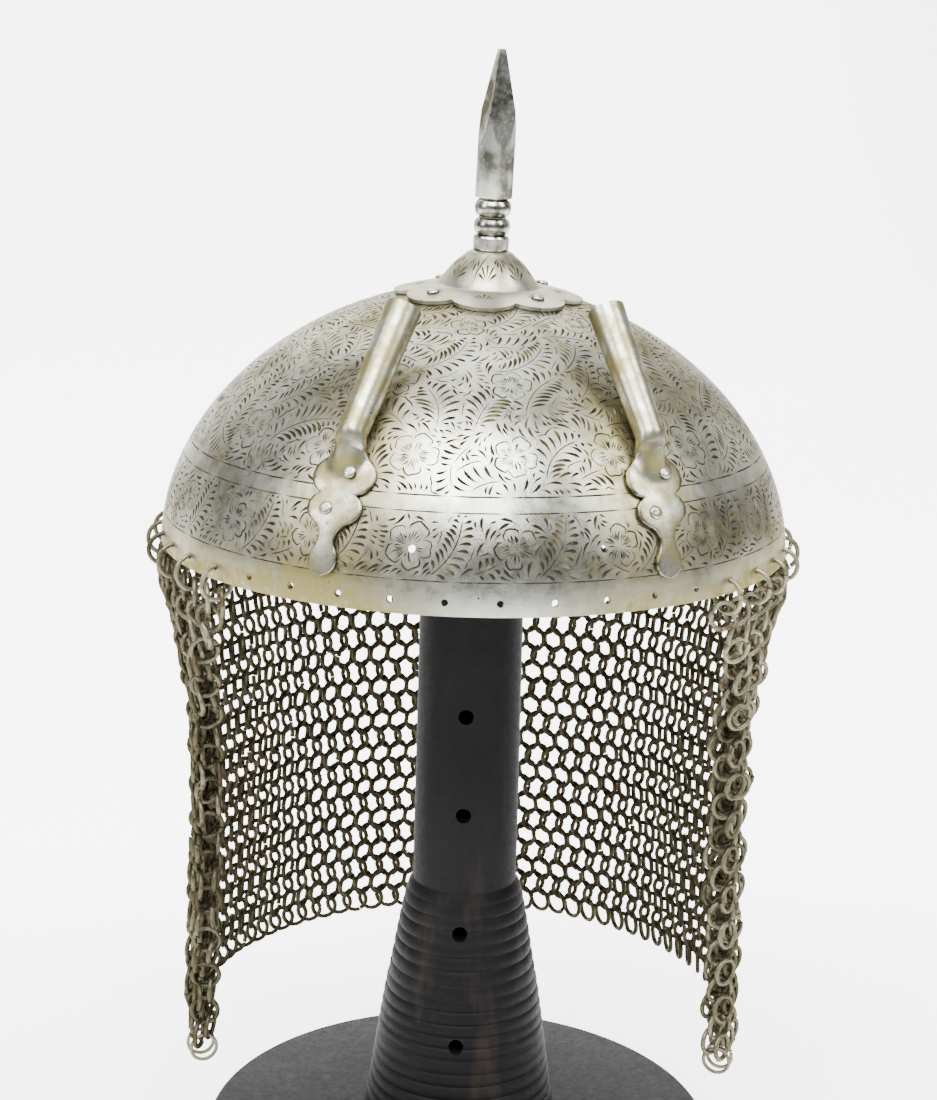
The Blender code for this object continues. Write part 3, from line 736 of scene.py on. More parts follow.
def engraved_sheet(name, outline, holes, strokes, grid, lift, wall):
    """Mesh of a sheet whose outer face is engraved; lift gives points in space and directions out."""
    top, depths, faces, cut, top_loops = triangulate(outline, holes, strokes, grid)
    under, _, under_faces, _, under_loops = triangulate(outline, holes, [], grid)
    outer, outward = lift(np.array(top), np.array(depths))
    inner, inward = lift(np.array(under), np.full(len(under), wall))
    shift = len(outer)
    points = np.concatenate((outer, inner))
    sides = []
    for number, (above, below) in enumerate(zip(top_loops, under_loops)):
        count = len(above)
        for i in range(count):
            j = (i + 1) % count
            side = (above[i], below[i] + shift, below[j] + shift, above[j])
            sides.append(side if number == 0 else side[::-1])
    underside = [tuple(shift + i for i in reversed(face)) for face in under_faces]
    mesh = bpy.data.meshes.new(name)
    mesh.from_pydata(points.tolist(), [], faces + underside + sides)
    mesh.polygons.foreach_set("use_smooth", [True] * len(mesh.polygons))
    index = [1 if flag else 0 for flag in cut] + [0] * (len(underside) + len(sides))
    mesh.polygons.foreach_set("material_index", index)
    soiled = {i for face, flag in zip(faces, cut) if flag for i in face}
    set_attribute(mesh, "soil", [1.0 if i in soiled else 0.0 for i in range(len(points))])
    directions = np.concatenate((outward, -inward))
    normals = np.zeros((len(mesh.loops), 3))
    corner = np.zeros(len(mesh.loops), dtype=np.int32)
    mesh.loops.foreach_get("vertex_index", corner)
    normals[:] = directions[corner]
    flat_from = len(faces) + len(underside)
    for polygon in mesh.polygons:
        number = polygon.index
        if number >= flat_from or (number < len(cut) and cut[number]):
            normals[polygon.loop_start:polygon.loop_start + polygon.loop_total] = polygon.normal
    mesh.normals_split_custom_set(normals.tolist())
    return mesh


def hole_loop(tool_flat, azimuth, arc, radius, sides=12):
    """Round hole in the unrolled plane."""
    made = []
    for i in range(sides):
        turn = 2 * math.pi * i / sides
        made.append(tool_flat(azimuth, arc, radius * math.cos(turn), radius * math.sin(turn)))
    return made


def clear_of(grid, strokes, cell):
    """Points of a grid that share no square cell with the middle line of a stroke."""
    def key(point):
        """Cell of a point."""
        return round(point.x / cell), round(point.y / cell)

    taken = {key(point) for stroke in strokes for point in stroke.spine}
    return [point for point in grid if key(point) not in taken]


def skull_holes(dome):
    """Azimuth, distance from the crown and radius of each hole."""
    size = helmet()
    rim_arc = dome.arc_at(size.rim_hole_height)
    holes = []
    for i in range(RIM_HOLES):
        holes.append((RIM_FIRST_AZIMUTH + 360 * i / RIM_HOLES, rim_arc, size.rim_hole_radius))
    for azimuth, height in NASAL_HOLES:
        holes.append((azimuth, dome.arc_at(height), size.nasal_hole_radius))
    return holes


# Heights of the engraved lines above the rim, and the distance from the crown at which the leaves end
RIM_LINE = 0.0097
LOWER_LINE = 0.0282
UPPER_LINE = 0.0324
FIELD_TOP = 0.027
# Rows of flowers: height above the rim, count, first azimuth, radius of a flower
LOWER_FLOWERS = (0.0190, 20, 1.1, 0.0066)
UPPER_FLOWERS = (
    (0.0432, 18, 2.0, 0.0068),
    (0.0604, 12, 2.7, 0.0064),
    (0.0738, 7, -11.5, 0.0058),
)


def engrave_skull(dome):
    """All strokes of the skull."""
    def to_plane(spot, point):
        """Point of the disc for a local point beside a spot."""
        return dome.offset(spot[0], spot[1], point.x, point.y)

    def to_space(point):
        """Point in space for a point of the disc."""
        arc = point.length
        radius = dome.radius_at(arc)
        share = radius / max(arc, 1e-9)
        return Vector((point.x * share, point.y * share, dome.height_at(arc)))

    tool = Engraver(to_plane, to_space, seed=7)
    for azimuth, arc, radius in skull_holes(dome):
        for i in range(8):
            turn = 2 * math.pi * i / 8
            spot = Vector((radius * math.cos(turn), radius * math.sin(turn)))
            tool.reserve(to_space(dome.offset(azimuth, arc, spot.x, spot.y)), 0.35 * MM)
    engrave_ring_line(tool, dome, dome.arc_at(RIM_LINE), width=0.19 * MM, pieces=38)
    engrave_ring_line(tool, dome, dome.arc_at(LOWER_LINE), width=0.20 * MM, pieces=34)
    engrave_ring_line(tool, dome, dome.arc_at(UPPER_LINE), width=0.25 * MM, pieces=34)
    height, count, first, radius = LOWER_FLOWERS
    arc = dome.arc_at(height)
    for i in range(count):
        spot = (first + 360 * i / count, arc + tool.random.uniform(-0.5, 0.5) * MM)
        reach = radius * tool.random.uniform(0.94, 1.06)
        engrave_flower(tool, spot, reach, tool.random.uniform(0, 1.2))
    for i in range(count):
        spot = (first + 360 * i / count, arc)
        engrave_scroll(tool, spot, 1)
    for height, count, first, radius in UPPER_FLOWERS:
        arc = dome.arc_at(height)
        for i in range(count):
            drift = Vector((tool.random.uniform(-1, 1), tool.random.uniform(-1, 1))) * 1.2 * MM
            turn = math.degrees(drift.x / dome.radius_at(arc))
            spot = (first + 360 * i / count + turn, arc + drift.y)
            reach = radius * tool.random.uniform(0.9, 1.1)
            engrave_flower(tool, spot, reach, tool.random.uniform(0, 1.2))
    engrave_field(tool, dome, dome.arc_at(UPPER_LINE) - 0.8 * MM)
    engrave_gaps(tool, dome)
    return tool.strokes


def engrave_scroll(tool, spot, hand):
    """Two leaves that swing round a flower of the lower band, from the foot of its right side."""
    def leaf(x, y, heading, reach, bend, longest, sides):
        """One leaf, given for the right hand in millimetres and degrees."""
        start = Vector((hand * x, y)) * MM
        angle = math.radians(heading if hand > 0 else 180 - heading)
        made_sides = sides if hand > 0 else tuple(-side for side in sides)
        engrave_fern(
            tool, spot, start, angle, reach * MM, hand * math.radians(bend), longest * MM,
            sides=made_sides,
        )

    leaf(4.0, -8.2, 172, 24.0, -88, 5.2, (1, -1))
    leaf(6.0, -8.4, 30, 20.0, 62, 4.8, (-1, 1))
    leaf(-13.0, -7.6, 12, 9.0, 18, 3.4, (1, -1))
    leaf(9.0, 8.4, 200, 12.0, 30, 3.2, (-1, 1))


def engrave_field(tool, dome, lowest):
    """Leaves that fill the upper field round its flowers, from the plain band to the finial."""
    rnd = tool.random
    row = lowest - 4.0 * MM
    while row > FIELD_TOP:
        radius = dome.radius_at(row)
        count = max(5, int(2 * math.pi * radius / (11.5 * MM)))
        first = rnd.uniform(0, 360)
        for i in range(count):
            azimuth = first + 360 * (i + rnd.uniform(-0.25, 0.25)) / count
            swirl = 2 * math.pi * noise.noise(Vector((azimuth / 46, row * 30, 2.7)))
            heading = math.pi / 2 + swirl * 0.75 + rnd.choice((-0.7, 0.7))
            bend = rnd.choice((-1, 1)) * rnd.uniform(0.5, 1.5)
            engrave_fern(
                tool, (azimuth, row), Vector((0, 0)), heading, rnd.uniform(14, 23) * MM, bend,
                rnd.uniform(5.4, 7.0) * MM,
            )
        row -= 5.5 * MM


def engrave_gaps(tool, dome):
    """Single short cuts in whatever room is left between the leaves, side by side where they can be."""
    rnd = tool.random
    bands = (
        (dome.arc_at(RIM_LINE) - 1.0 * MM, dome.arc_at(LOWER_LINE) + 1.0 * MM),
        (dome.arc_at(UPPER_LINE) - 1.0 * MM, FIELD_TOP),
    )
    for low, high in bands:
        row = low
        while row > high:
            count = int(2 * math.pi * dome.radius_at(row) / (1.8 * MM))
            for i in range(count):
                azimuth = 360 * (i + rnd.uniform(-0.3, 0.3)) / count
                swirl = 3 * math.pi * noise.noise(Vector((azimuth / 24, row * 50, 8.1)))
                bend = 0.9 if noise.noise(Vector((azimuth / 24, row * 50, 5.3))) > 0 else -0.9
                for size in (5.4, 3.8, 2.5):
                    path = arc_path(Vector((0, 0)), swirl, size * MM, bend, 4)
                    wide = rnd.uniform(0.26, 0.36) * MM * (0.7 + 0.1 * size)
                    if tool.cut(path, comb_widths(wide, 4), 0.26 * MM, 0.6, (azimuth, row)):
                        break
            row -= 1.4 * MM


# How far tarnish spreads from the finial, from the holders and up from the rim
FINIAL_STAIN = 0.046
HOLDER_STAIN = 0.021
RIM_STAIN = 0.010


def stain_values(points):
    """Share of tarnish at points: near the finial, the holders and the rim, and on the right side."""
    size = helmet()
    centre = finial_frame().translation
    made = []
    seats = []
    for _, azimuth, lean, _ in HOLDERS:
        for share in (0.05, 0.3, 0.55, 0.8, 1.0):
            height = plate_height(share)
            seats.append(skull_seat(plate_azimuth(azimuth, lean, height), height).translation)
    for point in points:
        spot = Vector(point)
        near_finial = math.exp(-((spot - centre).length / FINIAL_STAIN) ** 2)
        near_holder = max(math.exp(-((spot - seat).length / HOLDER_STAIN) ** 2) for seat in seats)
        low = math.exp(-max(0.0, spot.z - size.rim_level) / RIM_STAIN)
        right = max(0.0, 0.45 * spot.x + 0.30 * spot.y) / size.skull_radius
        flank = min(1.0, (abs(spot.x) + 0.4 * max(0.0, spot.x)) / (0.55 * size.skull_radius))
        cloud = 0.5 + 0.5 * noise.fractal(spot * 26, 1.0, 2.0, 4)
        amount = 0.85 * near_finial + 0.75 * near_holder + (0.08 + 0.95 * flank) * low + 0.7 * right
        made.append(max(0.0, min(1.0, amount * (0.45 + 1.1 * cloud) - 0.06)))
    return made


def set_attribute(mesh, name, values):
    """Stores one number for each point."""
    attribute = mesh.attributes.new(name, "FLOAT", "POINT")
    attribute.data.foreach_set("value", np.asarray(values, dtype=np.float32))


def make_skull():
    """Engraved bowl with its rim holes and the two holes over the brow."""
    size = helmet()
    dome = Dome()
    strokes = engrave_skull(dome)
    sides = 240
    outline = [dome.flat(360 * i / sides, dome.rim) for i in range(sides)]
    holes = [hole_loop(dome.offset, *hole) for hole in skull_holes(dome)]
    grid = []
    rows = 42
    for row in range(1, rows):
        arc = dome.rim * row / rows
        count = max(6, int(2 * math.pi * arc / (4.4 * MM)))
        for i in range(count):
            grid.append(dome.flat(360 * (i + 0.5 * (row % 2)) / count, arc))
    clear = clear_of(grid, strokes, 1.6 * MM)
    mesh = engraved_sheet(
        "engraved_skull", outline, holes, strokes, clear, dome.surface, size.skull_wall,
    )
    set_attribute(mesh, "stain", stain_values([vertex.co for vertex in mesh.vertices]))
    steel = worked_steel("bowl_steel", polish=0.24, tarnish=1.0)
    piece = add_piece("engraved_skull", mesh, [steel, engraving_patina()])
    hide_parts("skull")


# Finial: the line between two fans of cuts, in millimetres for the right hand
FAN_LINK = ((0.0, 8.6), (1.5, 6.4), (3.3, 3.4), (4.3, 0.9))


def flange_radius(turn):
    """Radius of the scalloped flange at a turn from one of its cusps."""
    size = helmet()
    wave = abs(math.sin(math.radians(turn) * FLANGE_LOBES / 2))
    return size.flange_cusp_radius + (size.flange_lobe_radius - size.flange_cusp_radius) * wave**0.7


def engrave_palmette(tool, azimuth, radius, count, longest, way):
    """Fan of cuts on the boss or the flange: way 1 points to the spike, -1 to the edge."""
    for i in range(count):
        aside = 2 * i / (count - 1) - 1
        heading = way * math.pi / 2 - way * aside * 0.75
        reach = longest * (1 - 0.30 * abs(aside)) * tool.random.uniform(0.85, 1.1)
        start = Vector((math.cos(heading), math.sin(heading))) * 0.7 * MM
        path = arc_path(start, heading, reach, -0.3 * aside, 4)
        tool.cut(path, comb_widths(0.27 * MM, 4), 0.06 * MM, 0.6, (azimuth, radius))


def make_finial_base():
    """Engraved boss and scalloped flange, raised from one sheet."""
    size = helmet()
    frame_here = finial_frame()
    cusp = FLANGE_AZIMUTH - 180 / FLANGE_LOBES
    profile = [(0.0, 1.0), *BOSS_PROFILE, (1.0, 0.0)]
    run = smooth_run(profile, 8)
    shares = [pair[0] for pair in run]
    rises = [pair[1] for pair in run]

    def lift(points, depth):
        """Points of the sheet's outer face, sunk by a depth, and the directions out of it."""
        spots, outs = [], []
        for point, sunk in zip(points, depth):
            radius = math.hypot(point[0], point[1])
            spot = frame_here @ Vector((point[0], point[1], 0.0))
            seat = skull_seat_under(spot.x, spot.y)
            on_skull = Vector((spot.x, spot.y, seat.translation.z + size.gap + size.sheet))
            out = seat.col[2].to_3d()
            share = radius / size.boss_radius
            if share < 1.0:
                rise = size.boss_height * float(np.interp(share, shares, rises))
                slope_low = float(np.interp(share - 0.02, shares, rises))
                slope_high = float(np.interp(share + 0.02, shares, rises))
                slope = (slope_high - slope_low) / 0.04 * size.boss_height / size.boss_radius
                on_boss = frame_here @ Vector((point[0], point[1], rise))
                safe = max(radius, 1e-6)
                local = Vector((-slope * point[0] / safe, -slope * point[1] / safe, 1.0))
                boss_out = (frame_here.to_3x3() @ local).normalized()
                if on_boss.z > on_skull.z:
                    on_skull = on_boss
                    out = boss_out
            spots.append(on_skull - out * sunk)
            outs.append(out)
        return np.array(spots), np.array(outs)

    sides = FLANGE_LOBES * 18
    outline = []
    for i in range(sides):
        turn = 360 * i / sides
        spot = place(flange_radius(turn), cusp + turn, 0.0)
        outline.append(Vector((spot.x, spot.y)))
    bore = [Vector(place(size.neck_radius * 0.6, 360 * i / 24, 0.0)[:2]) for i in range(24)]

    def to_plane(spot, point):
        """Local point beside a spot given as azimuth and radius."""
        radius = spot[1] - point.y
        turn = math.degrees(point.x / max(0.002, radius))
        base = place(radius, spot[0] + turn, 0.0)
        return Vector((base.x, base.y))

    tool = Engraver(to_plane, lambda point: Vector((point.x, point.y, 0.0)), seed=3)
    for i in range(FLANGE_LOBES):
        azimuth = FLANGE_AZIMUTH + 360 * i / FLANGE_LOBES
        engrave_palmette(tool, azimuth, 14.6 * MM, 5, 4.6 * MM, 1)
        engrave_palmette(tool, azimuth + 180 / FLANGE_LOBES, 7.4 * MM, 5, 4.2 * MM, -1)
        for hand in (-1, 1):
            path = [Vector((hand * x, y)) * MM for x, y in FAN_LINK]
            tool.cut(path, line_widths(0.16 * MM, 3), 0.08 * MM, 0.6, (azimuth, 0.0155))
        engrave_palmette(tool, azimuth, 24.0 * MM, 5, 4.4 * MM, 1)
    grid = []
    for row in np.linspace(size.neck_radius * 0.8, size.flange_lobe_radius, 22):
        count = int(2 * math.pi * row / (1.5 * MM))
        for i in range(count):
            spot = place(row, 360 * i / count, 0.0)
            turn = (360 * i / count - cusp) % 360
            if row < flange_radius(turn) - 0.5 * MM:
                grid.append(Vector((spot.x, spot.y)))
    clear = clear_of(grid, tool.strokes, 0.8 * MM)
    mesh = engraved_sheet("finial_boss", outline, [bore], tool.strokes, clear, lift, size.sheet)
    set_attribute(mesh, "stain", stain_values([vertex.co for vertex in mesh.vertices]))
    steel = worked_steel("finial_steel", polish=0.26, tarnish=0.50)
    piece = add_piece("finial_boss", mesh, [steel, engraving_patina()])
    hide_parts("finial_base")


def facet_radius(turn, rise):
    """Radius of the spike at a turn from the middle of a facet, above its round stretch."""
    size = helmet()
    slope = (size.spike_radius - size.spike_tip_radius) / (size.spike_length - size.spike_round_length)
    flat = size.spike_radius - slope * rise
    wedge = 360 / SPIKE_FACETS
    off = (turn + wedge / 2) % wedge - wedge / 2
    return min(size.spike_radius, flat / math.cos(math.radians(off)))


def bead_outline(level, height, radius, neck, steps=10):
    """Outline of one rounded bead, as radius and height."""
    made = []
    for i in range(steps + 1):
        share = i / steps
        bulge = math.sin(math.pi * share) ** 0.55 if 0 < share < 1 else 0.0
        made.append((neck + (radius - neck) * bulge, level + share * height))
    return made


def make_finial_spike():
    """Spike with its facets, beads and collar."""
    size = helmet()
    frame_here = finial_frame()
    sides = 96
    foot = size.boss_height + size.gap
    outline = [
        (size.neck_radius * 0.5, foot),
        (size.collar_radius * 0.96, foot),
        (size.collar_radius, foot + 0.0004),
        (size.collar_radius, foot + size.collar_height - 0.0005),
        (size.collar_radius * 0.95, foot + size.collar_height),
    ]
    level = foot + size.collar_height
    outline.append((size.neck_radius, level + size.gap))
    bead = size.bead_height - size.gap
    for _ in range(BEADS):
        outline += bead_outline(level + size.gap, bead, size.bead_radius, size.neck_radius)
        level += size.bead_height
    level += size.gap
    outline.append((size.spike_radius * 0.93, level))
    outline.append((size.spike_radius * 0.985, level + 0.0003))
    rings = [circle(radius, height, sides, SPIKE_FACET_AZIMUTH) for radius, height in outline]
    rings.append(circle(size.spike_radius, level + 0.0008, sides, SPIKE_FACET_AZIMUTH))
    rings.append(circle(size.spike_radius, level + size.spike_round_length, sides, SPIKE_FACET_AZIMUTH))
    faceted = size.spike_length - size.spike_round_length
    steps = 36
    for step in range(1, steps + 1):
        share = step / steps
        ring = []
        for i in range(sides):
            turn = 360 * i / sides
            radius = facet_radius(turn, share * faceted)
            if share > 0.97:
                radius *= 0.93
            height = level + size.spike_round_length + share * faceted
            ring.append(place(radius, SPIKE_FACET_AZIMUTH + turn, height))
        rings.append(ring)
    rings = [[frame_here @ point for point in ring] for ring in rings]
    mesh = rings_to_mesh("spike", rings, smooth_degrees=14)
    piece = add_piece("spike", mesh, [spike_steel()])
    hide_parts("finial_spike")


# Plume holders

def holder_station(azimuth, lean, travel):
    """Frame at a travel along a holder from the tube's foot: X across, Y along, Z out of the skull."""
    seat = skull_seat(azimuth, helmet().holder_seat_height)
    tilt = Matrix.Rotation(math.radians(lean), 4, "Z").inverted()
    return seat @ tilt @ Matrix.Translation((0, travel, 0))


def arch(frame_here, radius, half_angle, top, wall, across):
    """Outer and inner points of a curled sheet whose back stands at a height over the frame."""
    outer, inner = [], []
    for i in range(across + 1):
        angle = (2 * i / across - 1) * half_angle
        for side, reach in ((outer, radius), (inner, radius - wall)):
            spot = Vector((reach * math.sin(angle), 0.0, top - radius + reach * math.cos(angle)))
            side.append(frame_here @ spot)
    return outer, inner


def make_plume_holder(side, azimuth, lean):
    """Plate and tube of one sheet: the plate narrows, its sides curl under and close into the tube."""
    size = helmet()
    across = 36
    rows = []
    outline = smooth_run(PLATE_FOOT, 4) + smooth_run(PLATE_HEAD, 4)[1:-1]
    lift = size.gap + size.sheet
    for share, width in outline:
        height = plate_height(share)
        middle = plate_azimuth(azimuth, lean, height)
        outer, inner = [], []
        for i in range(across + 1):
            aside = 2 * i / across - 1
            edge = 0.35 * MM * max(0.0, (abs(aside) - 0.90) / 0.10) ** 2
            crown = 0.15 * MM * (1 - aside * aside)
            crown += plate_crown(share, aside * width * size.plate_half_width)
            turn = math.degrees(aside * width * size.plate_half_width / skull_radius(height))
            seat = skull_seat(middle + turn, height)
            outer.append(seat @ Vector((0, 0, lift - edge + crown)))
            inner.append(seat @ Vector((0, 0, size.gap)))
        rows.append((outer, inner))
    tube_axis = lift + size.tube_foot_radius - size.tube_sink
    spread = (size.tube_mouth_radius - size.tube_foot_radius) / size.tube_length
    neck = plate_height(NECK_START) - size.holder_seat_height
    neck_half = 0.50 * size.plate_half_width
    steps = 12
    for step in range(steps + 1):
        share = step / steps
        travel = neck + (TUBE_CLOSED - neck) * share
        half_width = neck_half + (size.tube_foot_radius + spread * travel - neck_half) * share
        top = lift + plate_crown(NECK_START + NECK_RUN * share, 0.0) + spread * TUBE_CLOSED * share
        rise = top - lift
        radius = half_width
        if rise < half_width:
            radius = max(half_width, (half_width**2 + rise**2) / (2 * rise))
        half_angle = math.acos(max(-1.0, 1 - rise / radius))
        half_angle += (TUBE_COVER * math.pi - half_angle) * share**3
        wall = size.sheet + (size.tube_wall - size.sheet) * share
        rows.append(arch(holder_station(azimuth, lean, travel), radius, half_angle, top, wall, across))
    tube_rows = 14
    for step in range(1, tube_rows + 1):
        travel = TUBE_CLOSED + (size.tube_length - TUBE_CLOSED) * step / tube_rows
        radius = size.tube_foot_radius + spread * travel
        station = holder_station(azimuth, lean, travel)
        top = tube_axis + radius
        rows.append(arch(station, radius, TUBE_COVER * math.pi, top, size.tube_wall, across))
    points, dirt = [], []
    plate_rows = len(outline)
    for number, (outer, inner) in enumerate(rows):
        points += [*outer, *reversed(inner)]
        edges = [max(0.0, (abs(2 * i / across - 1) - 0.70) / 0.30) for i in range(across + 1)]
        foot = max(0.0, 1 - number / 10)
        share = min(1.0, max(0.0, (number - plate_rows) / 12))
        dirt += [max(edge, foot) * (1 - share) for edge in edges]
        dirt += [1.0] * (across + 1)
    count = 2 * (across + 1)
    faces = []
    for i in range(len(rows) - 1):
        for j in range(count):
            k = (j + 1) % count
            faces.append((i * count + j, i * count + k, (i + 1) * count + k, (i + 1) * count + j))
    for first in (0, (len(rows) - 1) * count):
        for j in range(across):
            faces.append((first + j, first + j + 1, first + count - 2 - j, first + count - 1 - j))
    mesh = bpy.data.meshes.new(f"holder_{side}")
    body = bmesh.new()
    vertices = [body.verts.new(point) for point in points]
    for face in faces:
        body.faces.new([vertices[i] for i in face])
    bmesh.ops.recalc_face_normals(body, faces=body.faces)
    body.to_mesh(mesh)
    body.free()
    set_attribute(mesh, "soil", dirt)
    shade(mesh, 42)
    piece = add_piece(f"holder_{side}", mesh, [holder_steel()])
    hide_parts(f"plume_holder_{side}")


# Rivets

def rivet_seats():
    """Frames of the rivets on the skull, by node."""
    size = helmet()
    seats = {}
    for side, azimuth, lean, offset in HOLDERS:
        for number, (share, sign) in enumerate(PLATE_RIVETS, 1):
            height = plate_height(share)
            middle = plate_azimuth(azimuth, lean, height)
            turn = math.degrees(sign * offset / skull_radius(height))
            raised = Matrix.Translation((0, 0, plate_crown(share, offset)))
            seats[f"holder_rivet_{side}_{number}"] = skull_seat(middle + turn, height) @ raised
    frame_here = finial_frame()
    for i in range(FLANGE_RIVETS):
        turn = FLANGE_AZIMUTH + (i + 0.5) * 360 / FLANGE_RIVETS
        point = frame_here @ place(size.flange_rivet_radius, turn, 0.0)
        seats[f"finial_rivet_{i + 1}"] = skull_seat_under(point.x, point.y)
    return seats


def make_rivets():
    """Flattened rivet heads with the hammer's small flats on them."""
    size = helmet()
    rnd = random.Random(11)
    base = size.gap + size.sheet - 0.1 * MM
    top = 2 * size.gap + size.sheet + size.rivet_head_height
    sides = 28
    for node, seat in rivet_seats().items():
        flats = [(rnd.uniform(0, 2 * math.pi), rnd.uniform(0.3, 0.7)) for _ in range(5)]
        rings = []
        for reach, rise in RIVET_PROFILE:
            ring = []
            for i in range(sides):
                angle = 2 * math.pi * i / sides
                dent = sum(
                    0.05 * math.exp(-((reach - far) / 0.3) ** 2) * max(0, math.cos(angle - at)) ** 6
                    for at, far in flats
                )
                radius = reach * size.rivet_head_radius * (1 + 0.03 * math.sin(2 * angle + flats[0][0]))
                height = base + (rise - dent) * (top - base)
                ring.append(seat @ Vector((radius * math.cos(angle), radius * math.sin(angle), height)))
            rings.append(ring)
        mesh = rings_to_mesh(f"{node}_head", rings, smooth_degrees=50)
        set_attribute(mesh, "soil", [0.8 if i < 2 * sides else 0.0 for i in range(len(mesh.vertices))])
        piece = add_piece(f"{node}_head", mesh, [rivet_steel()])
        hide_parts(node)


# Rings and mail

def wire_rings(name, rings, around, sides, gap_degrees):
    """One mesh of many butted wire rings.

    Each ring is its centre, two directions in its plane, its radius, its wire's radius, the turn of its
    butt joint, its ovalness and its tone.
    """
    points, faces, tones = [], [], []
    for centre, across, up, radius, wire, butt, oval, tone in rings:
        out = across.cross(up).normalized()
        first = len(points)
        sweep = 360 - gap_degrees
        for i in range(around + 1):
            angle = math.radians(butt + gap_degrees / 2 + sweep * i / around)
            shift = 0.35 * wire * (2 * i / around - 1) ** 5
            reach = radius * (1 + oval * math.cos(2 * angle))
            direction = across * math.cos(angle) + up * math.sin(angle)
            middle = centre + direction * reach + out * shift
            for j in range(sides):
                roll = 2 * math.pi * j / sides
                points.append(middle + (direction * math.cos(roll) + out * math.sin(roll)) * wire)
        for i in range(around):
            near, far = first + i * sides, first + (i + 1) * sides
            for j in range(sides):
                k = (j + 1) % sides
                faces.append((near + j, far + j, far + k, near + k))
        faces.append(tuple(first + j for j in range(sides)))
        faces.append(tuple(first + around * sides + j for j in reversed(range(sides))))
        tones += [tone] * ((around + 1) * sides)
    mesh = bpy.data.meshes.new(name)
    mesh.from_pydata([tuple(point) for point in points], [], faces)
    shade(mesh, 65)
    set_attribute(mesh, "tone", tones)
    return mesh


def ringed_azimuths():
    """Azimuths of the rim holes that hold a ring."""
    pitch = 360 / RIM_HOLES
    return [RIM_FIRST_AZIMUTH + (FIRST_RINGED_HOLE + i) * pitch for i in range(RINGED_HOLES)]


def hanging_ring_centre():
    """Radius and height of the hanging rings' centres."""
    size = helmet()
    radius = skull_radius(size.rim_hole_height) - size.skull_wall / 2
    height = size.rim_level + size.rim_hole_height - mail().hanging_radius * 0.97
    return radius, height


def upright_ring(azimuth, centre_radius, centre_height, radius, wire, rnd, loose):
    """Ring whose plane holds the axis, turned about its top by loose degrees at most."""
    yaw = math.radians(rnd.uniform(-loose, loose))
    tilt = math.radians(rnd.uniform(-loose, loose) * 0.4)
    outwards = place(1.0, azimuth, 0.0)
    turned = Matrix.Rotation(yaw, 3, "Z") @ outwards
    up = Matrix.Rotation(tilt, 3, outwards) @ Vector((0, 0, 1))
    turned = (turned - up * turned.dot(up)).normalized()
    top = place(centre_radius, azimuth, centre_height + radius)
    centre = top - up * radius
    butt = rnd.uniform(-60, 60)
    oval = rnd.uniform(-0.03, 0.03)
    tone = rnd.uniform(0, 1)
    return centre, turned, up, radius, wire, butt, oval, tone


def make_hanging_rings():
    """Rings through the rim that carry the mail."""
    size = mail()
    rnd = random.Random(21)
    centre_radius, centre_height = hanging_ring_centre()
    wire = mail_wire("rim_ring_wire", worn=0.75)
    for number, azimuth in enumerate(ringed_azimuths(), 1):
        ring = upright_ring(
            azimuth, centre_radius, centre_height, size.hanging_radius, size.hanging_wire, rnd, loose=9.0,
        )
        mesh = wire_rings(f"rim_ring_{number:02d}", [ring], around=40, sides=12, gap_degrees=3.0)
        piece = add_piece(f"rim_ring_{number:02d}", mesh, [wire])
        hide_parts(f"hanging_ring_{number:02d}")


def drape_at(down):
    """Shares of the top radius, of the gather and of the bundle at a share of the way down."""
    downs = [row[0] for row in MAIL_DRAPE]
    return [float(np.interp(down, downs, [row[i] for row in MAIL_DRAPE])) for i in (1, 2, 3)]


def mail_edges(gather):
    """Azimuths of the curtain's two front edges, right then left, at a share of the gather."""
    size = mail()
    ringed = ringed_azimuths()
    margin = math.degrees(size.edge_margin)
    turn = gather * math.degrees(size.gather)
    return ringed[0] - margin + turn, ringed[-1] + margin - turn


# Gathered front edges: columns of rings in each, and how far a ring steps out of line and turns there
EDGE_COLUMNS = 5
FOLD_REACH = 0.0032
FOLD_TURN = 66.0


